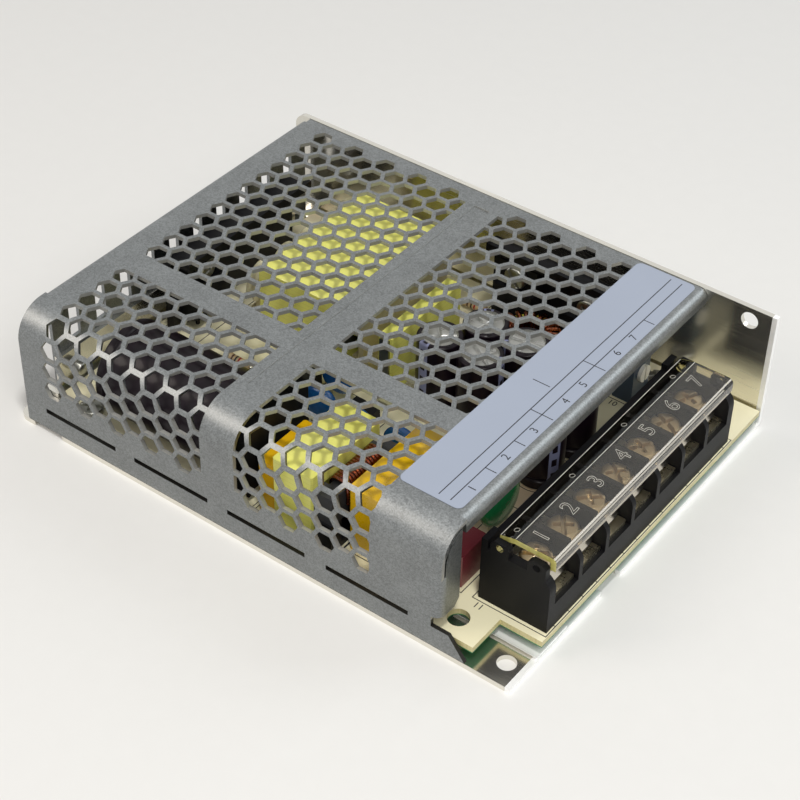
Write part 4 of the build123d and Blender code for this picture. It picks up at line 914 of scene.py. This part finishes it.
def build_capacitors(sizes, colours):
    """The lying bulk can with its leads, and the upright output cans."""
    finishes = [can_sleeve(colours.sleeve), plated("can_top", 0xC4C4C0, 0.28)]
    low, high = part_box("bulk_capacitor")
    radius, start = (high.z - low.z - 0.1 * MM) / 2, high.x - 31.0 * MM
    middle, level = (low.y + high.y) / 2, high.z - radius
    can = build_can("bulk_can", (start, middle, level), radius, high.x - start, finishes,
                    math.radians(70), lying=True)
    bend = arc((low.x + 1.2 * MM, level - 1.2 * MM), 0.8 * MM, 90, 180, 8)
    line = [(start + 0.2 * MM, level - 0.4 * MM), *bend, (low.x + 0.4 * MM, board_top())]
    leads = [lead(line, middle + side * 5.0 * MM, 0.4 * MM, 12) for side in (-1, 1)]
    make_piece("bulk_can_leads", leads, finishes[1:])
    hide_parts("bulk_capacitor")
    for index, node in enumerate(numbered("output_capacitor")):
        low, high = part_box(node)
        at = ((low.x + high.x) / 2, (low.y + high.y) / 2, low.z)
        can = build_can("output_can_%d" % (index + 1), at, (high.x - low.x) / 2, high.z - low.z, finishes,
                        0.7 + 1.9 * index)
        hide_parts(node)


def lens_profile(radius, thickness, power=2.6):
    """Side of a dipped disc: half thickness times (1 - (r/R)^p)^(1/p)."""
    share = np.sin(np.linspace(0, np.pi / 2, 14))
    half = thickness / 2 * (1 - share ** power) ** (1 / power)
    front = np.stack([share * radius, half], 1)
    return np.concatenate([front, (front * [1, -1])[::-1][1:]])[::-1]


def build_discs(sizes, colours):
    """Blue dipped discs and the green varistor, each on two straight leads."""
    coats = {"blue_epoxy": dipped_coat("blue_coat", 0x1F6FC0),
             "green_epoxy": dipped_coat("green_coat", 0x1F7A45)}
    tinned = plated("tinned_lead", 0xBDBDB6, 0.3)
    for node in numbered("disc_capacitor") + ["varistor"]:
        low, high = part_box(node)
        size = (high - low).xy
        axis = "y" if size.x > size.y else "x"
        radius = max(size) / 2
        centre = np.array([(low.x + high.x) / 2, (low.y + high.y) / 2, high.z - radius])
        slot = "green_epoxy" if node == "varistor" else "blue_epoxy"
        coat = moved(revolved(lens_profile(radius, min(size)), 48, axis), centre)
        disc = make_piece(node + "_coat", [coat], [coats[slot]])
        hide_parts(node)
        offset = radius / 2 * np.array([axis == "y", axis == "x", False])
        rise = np.linspace(board_top() - centre[2], 0, 9)[:, None] * np.array([0, 0, 1])
        leads = [wire(centre + side * offset + rise, (1, 0, 0), 0.35 * MM) for side in (-1, 1)]
        make_piece(node + "_leads", leads, [tinned])


# Chokes
def squared(turn, power):
    """Cosine and sine of an angle, their sizes raised to a power that squares the circle up."""
    return [np.sign(wave) * np.abs(wave) ** power for wave in (np.cos(turn), np.sin(turn))]


def build_output_choke(sizes, colours):
    """Ring core with thick wire, whose middle runs round the ring's section as its angle goes once round."""
    low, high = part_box("output_choke_winding")
    centre, wire_radius = (low + high) / 2, sizes.ring_wire / 2
    outer, (hole, gap) = (high.x - low.x) / 2, mm(3.2, 1.35)
    turn = np.linspace(0, 2 * np.pi * sizes.ring_turns, 40 * sizes.ring_turns, endpoint=False)
    around = turn / sizes.ring_turns * 0.93
    across, up = squared(turn, 0.45)
    radius = (outer + hole) / 2 + ((outer - hole) / 2 - wire_radius) * across
    level = centre.z + ((high.z - low.z) / 2 - wire_radius) * up
    path = np.stack([centre.x + radius * np.cos(around), centre.y + radius * np.sin(around), level], 1)
    outward = np.stack([across * np.cos(around), across * np.sin(around), up + 0.01], 1)
    copper = enamelled_copper("thick_copper", 0x8A4520)
    coil = make_piece("output_choke_turns", [wire(path, outward, wire_radius)], [copper])
    section = ring(hole + gap, outer - gap, low.z + gap, high.z - gap, 64)
    core = make_piece("output_choke_ring", [moved(section, (centre.x, centre.y, 0))],
                      [moulded("ring_coat", 0xC9C24A, 0.4)])
    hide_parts("output_choke_winding")
    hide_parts("output_choke_core")


def build_line_choke(sizes, colours):
    """Copper coil on the choke's front leg: a helix of rounded rectangular turns along y."""
    low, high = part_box("line_choke_winding")
    centre, wire_radius = (low + high) / 2, sizes.coil_wire / 2
    steps = 36 * sizes.coil_turns
    turn = np.linspace(0, 2 * np.pi * sizes.coil_turns, steps)
    across, up = squared(turn, 0.55)
    path = np.stack([centre.x + ((high.x - low.x) / 2 - wire_radius) * across,
                     np.linspace(low.y + wire_radius, high.y - wire_radius, steps),
                     centre.z + ((high.z - low.z) / 2 - wire_radius) * up], 1)
    outward = np.stack([across, 0 * turn, up + 0.01], 1)
    copper = enamelled_copper("choke_copper", 0x7A3412)
    coil = make_piece("line_choke_turns", [wire(path, outward, wire_radius)], [copper])
    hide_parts("line_choke_winding")


# Glue and bands
def blob(centre, size, seed):
    """A lump on the board: radius 1 + two waves of the angles, with a size in mm and cut flat below."""
    rows, steps = 18, 32
    tilt = np.linspace(0, np.pi, rows)[:, None]
    around = np.linspace(0, 2 * np.pi, steps, endpoint=False)[None, :]
    wave = 0.12 * np.sin(3 * around + seed) * np.sin(tilt)
    wave = 1 + wave + 0.08 * np.cos(5 * around - 2 * seed) * np.sin(tilt) ** 2
    flat = wave * np.sin(tilt)
    points = np.stack([flat * np.cos(around), flat * np.sin(around), np.cos(tilt) + 0 * around], -1)
    points[..., 2] = np.maximum(points[..., 2], 0.0)
    return moved((points * np.array(mm(*size)), grid_faces(rows, steps)), centre)


def build_glue(sizes, colours):
    """Fixing glue beside the large can, the transformer and between the output cans."""
    board = board_top()
    cans = [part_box(node) for node in numbered("output_capacitor")[:4]]
    middle = sum(((low + high) / 2 for low, high in cans), Vector()) / len(cans)
    parts = [blob((middle.x, middle.y, board), (4.5, 3.0, 7.0), 0.6)]
    for across, seed in ((-1, 0.9), (1, 2.1)):
        place = (middle.x + across * 2.6 * MM, middle.y - across * 1.6 * MM, board + 8.0 * MM)
        parts.append(blob(place, (2.9, 2.6, 8.5), seed))
    low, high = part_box("bulk_capacitor")
    for share, seed in ((0.25, 1.1), (0.75, 2.3)):
        x = low.x + share * (high.x - low.x)
        parts.append(blob((x, high.y - 0.6 * MM, board), (6.0, 3.2, 5.0), seed))
    low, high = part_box("transformer_tape")
    for share, seed in ((0.12, 3.4), (0.34, 1.9), (0.55, 4.2), (0.76, 0.4), (0.92, 5.6)):
        y = low.y + share * (high.y - low.y)
        parts.append(blob((low.x - 2.7 * MM, y, board + 9.0 * MM), (2.5, 4.6, 8.2), seed))
    glue = mottled("silicone_glue", 0xD9CDA6, 0xC3B488, 0xE8DFC0, (900, 4), (0.45, 0.32, 0.25), 0.08,
                   subsurface_weight=0.15)
    make_piece("fixing_glue", parts, [glue])


def banded_body():
    """Tan resistor body with brown, black, red and gold rings along its length."""
    finish = Finish("banded_body", 0xC9B088, 0.4, coat_weight=0.4)
    _, along, _ = finish.parts(finish.coordinates("UV"))
    shade = finish.noise(800, 2)
    skin = finish.mix(shade, 0xB79B6E, 0xDCC69F)
    for start, band in ((2.3, 0x4A2412), (3.3, 0x111111), (4.2, 0xA01818), (5.8, 0xB58A2A)):
        skin = finish.mix(along.within(start, start + 0.45), skin, band)
    return finish.done(skin, 0.3 + shade * 0.2)


def build_resistors(sizes, colours):
    """Lying resistors with swollen ends, coloured rings and bent leads."""
    board, bend_radius, steps = board_top(), 0.35 * MM, 32
    share = np.linspace(-1, 1, 25)
    swell = 0.86 + 0.14 * np.exp(-((np.abs(share) - 0.78) / 0.14) ** 2)
    rounding = np.sqrt(np.clip(1 - np.clip((np.abs(share) - 0.82) / 0.18, 0, 1) ** 2, 0, 1))
    parts, maps, leads = [], [], []
    for low, high in solids_of("resistors"):
        middle = (low + high) / 2
        half, radius = (high.x - low.x) / 2 - 0.8 * MM, (high.z - board - 0.4 * MM) / 2
        level, reach = high.z - radius, half + 0.4 * MM
        profile = np.stack([radius * swell * rounding, share * half], 1)
        parts.append(moved(revolved(profile, steps, "x"), (middle.x, middle.y, level)))
        maps.append(unroll(profile, steps))
        for end in (-1, 1):
            corner = (middle.x + end * (reach - bend_radius), level - bend_radius)
            bend = arc(corner, bend_radius, 90, 0 if end > 0 else 180, 6)
            line = [(middle.x + end * (half - 0.3 * MM), level), *bend, (middle.x + end * reach, board)]
            leads.append(lead(line, middle.y, 0.3 * MM, 8))
    bodies = make_piece("resistor_bodies", parts, [banded_body()],
                        unrolled=np.concatenate(maps))
    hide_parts("resistors")
    make_piece("resistor_leads", leads, [plated("resistor_tin", 0xBDBDB6, 0.3)])


# Studio
def build_studio(sizes, colours):
    """Pale floor, soft lamps, a pale world and the camera at the photograph's angle."""
    reach, level = sizes.floor_reach, cad_box[0].z - 0.03 * MM
    mesh = bpy.data.meshes.new("floor")
    mesh.from_pydata([(x * reach, y * reach, level) for x, y in ((-1, -1), (1, -1), (1, 1), (-1, 1))],
                     [], [(0, 1, 2, 3)])
    mesh.materials.append(floor_paper(colours.floor))
    floor = placed("floor", mesh)
    add_lamps()
    add_world()
    add_camera()
    bpy.context.scene.view_settings.view_transform = "Standard"


def aimed(name, data, place, ahead, roll=0.0):
    """A lamp or camera at a place that looks ahead, rolled about its own axis."""
    holder = placed(name, data)
    holder.location = place
    holder.rotation_mode = "QUATERNION"
    holder.rotation_quaternion = ahead.to_track_quat("-Z", "Y") @ Quaternion((0, 0, 1), roll)
    return holder


def add_lamps():
    """Soft lamps: warm over the terminals, smaller overhead, from the left, and from the rear right.

    They light what lies under the clear lid straight through it, so rays bent by the lid don't meet them.
    """
    lamps = (("key", (0.5, -0.45, 0.72), 0.45, 3.0, (1.0, 0.97, 0.92)),
             ("top", (0.22, -0.2, 0.95), 0.11, 3.7, (1.0, 0.98, 0.95)),
             ("left", (-0.55, -0.5, 0.6), 0.4, 2.2, (1.0, 0.9, 0.8)),
             ("rim", (0.45, 0.65, 0.6), 0.5, 2.0, (0.92, 0.97, 1.0)))
    for name, place, size, power, light in lamps:
        lamp = bpy.data.lights.new(name, "AREA")
        lamp.size = size
        lamp.energy = power
        lamp.color = light
        aimed(name, lamp, place, -Vector(place)).visible_transmission = False


def add_world():
    """A pale world: what the camera, reflections and clear parts see, and a plainer light for the rest."""
    world = bpy.data.worlds.new("studio")
    world.use_nodes = True
    world.node_tree.nodes.clear()
    graph = Graph(world.node_tree)
    camera, glossy, clear = [graph.node("ShaderNodeLightPath", output="Is %s Ray" % kind)
                             for kind in ("Camera", "Glossy", "Transmission")]
    seen = graph.node("ShaderNodeBackground", values={"Color": colour(0xECECEA)})
    lit = graph.node("ShaderNodeBackground", values={"Color": colour(0xF4F6FA), "Strength": 0.3})
    mixed = graph.node("ShaderNodeMixShader", values={0: camera.most(glossy).most(clear), 1: lit, 2: seen})
    graph.node("ShaderNodeOutputWorld", values={0: mixed})
    bpy.context.scene.world = world


def add_camera():
    """The photograph's camera: round and above the object, turned a little about its own axis."""
    aim, distance = Vector((5.76, -4.62, 12.0)) * MM, 407.64 * MM
    azimuth, elevation, roll = math.radians(35.966), math.radians(40.515), math.radians(1.36)
    back = Vector((math.sin(azimuth) * math.cos(elevation), -math.cos(azimuth) * math.cos(elevation),
                   math.sin(elevation)))
    data = bpy.data.cameras.new("camera")
    data.sensor_width = 36.0
    data.lens = 86.97
    data.clip_start = 0.01
    bpy.context.scene.camera = aimed("camera", data, aim + back * distance, -back, roll)


# Operators
class SupplyOperator:
    """Shared by all operators: runs the step with the scene's settings."""

    bl_options = {"REGISTER", "UNDO"}
    steps = ()

    def execute(self, context):
        for step in self.steps:
            step(context.scene.supply_sizes, context.scene.supply_colours)
        return {"FINISHED"}


class SUPPLY_OT_sheets(SupplyOperator, bpy.types.Operator):
    """Finish the folded chassis, the mesh cover, the standoffs and the insulating sheet"""

    bl_idname = "supply.sheets"
    bl_label = "Case sheets"
    steps = (dress_sheets,)


class SUPPLY_OT_label(SupplyOperator, bpy.types.Operator):
    """Lay the label with its printed rules and numbers"""

    bl_idname = "supply.label"
    bl_label = "Label"
    steps = (build_label,)


class SUPPLY_OT_board(SupplyOperator, bpy.types.Operator):
    """Finish the board and its small parts, and print its marks"""

    bl_idname = "supply.board"
    bl_label = "Board"
    steps = (dress_board, build_board_print, build_film_tongue)


class SUPPLY_OT_terminals(SupplyOperator, bpy.types.Operator):
    """Finish the terminal block, its contacts and clamps, and its clear lid"""

    bl_idname = "supply.terminals"
    bl_label = "Terminals"
    steps = (dress_terminals, build_lid_marks, build_lid_edges)


class SUPPLY_OT_wound(SupplyOperator, bpy.types.Operator):
    """Finish the transformer, the chokes and the film capacitors, and wind the coils"""

    bl_idname = "supply.wound"
    bl_label = "Wound parts"
    steps = (dress_wound_parts, build_output_choke, build_line_choke)


class SUPPLY_OT_capacitors(SupplyOperator, bpy.types.Operator):
    """Turn the round cans and dip the discs"""

    bl_idname = "supply.capacitors"
    bl_label = "Capacitors"
    steps = (build_capacitors, build_discs)


class SUPPLY_OT_fittings(SupplyOperator, bpy.types.Operator):
    """Turn the screws and put rings and leads on the resistors"""

    bl_idname = "supply.fittings"
    bl_label = "Screws and resistors"
    steps = (build_screws, build_resistors)


class SUPPLY_OT_glue(SupplyOperator, bpy.types.Operator):
    """Set the fixing glue between the parts"""

    bl_idname = "supply.glue"
    bl_label = "Glue"
    steps = (build_glue,)


class SUPPLY_OT_studio(SupplyOperator, bpy.types.Operator):
    """Set up the floor, the lamps, the world and the camera"""

    bl_idname = "supply.studio"
    bl_label = "Studio"
    steps = (build_studio,)


OPERATORS = (SUPPLY_OT_sheets, SUPPLY_OT_label, SUPPLY_OT_board, SUPPLY_OT_terminals, SUPPLY_OT_wound,
             SUPPLY_OT_capacitors, SUPPLY_OT_fittings, SUPPLY_OT_glue, SUPPLY_OT_studio)


class SUPPLY_PT_panel(bpy.types.Panel):
    """Lists the steps in the order in which they run."""

    bl_idname = "SUPPLY_PT_panel"
    bl_label = "Power supply"
    bl_space_type = "VIEW_3D"
    bl_region_type = "UI"
    bl_category = "Supply"

    def draw(self, context):
        for operator in OPERATORS:
            self.layout.operator(operator.bl_idname)
        for group in (context.scene.supply_sizes, context.scene.supply_colours):
            for name in group.__annotations__:
                self.layout.prop(group, name)


CLASSES = (SupplySizes, SupplyColours, *OPERATORS, SUPPLY_PT_panel)


def register():
    for item in CLASSES:
        bpy.utils.register_class(item)
    bpy.types.Scene.supply_sizes = bpy.props.PointerProperty(type=SupplySizes)
    bpy.types.Scene.supply_colours = bpy.props.PointerProperty(type=SupplyColours)


def unregister():
    del bpy.types.Scene.supply_colours
    del bpy.types.Scene.supply_sizes
    for item in reversed(CLASSES):
        bpy.utils.unregister_class(item)


def main():
    register()
    for operator in OPERATORS:
        getattr(bpy.ops.supply, operator.bl_idname.split(".")[1])()


if __name__ == "__main__":
    main()
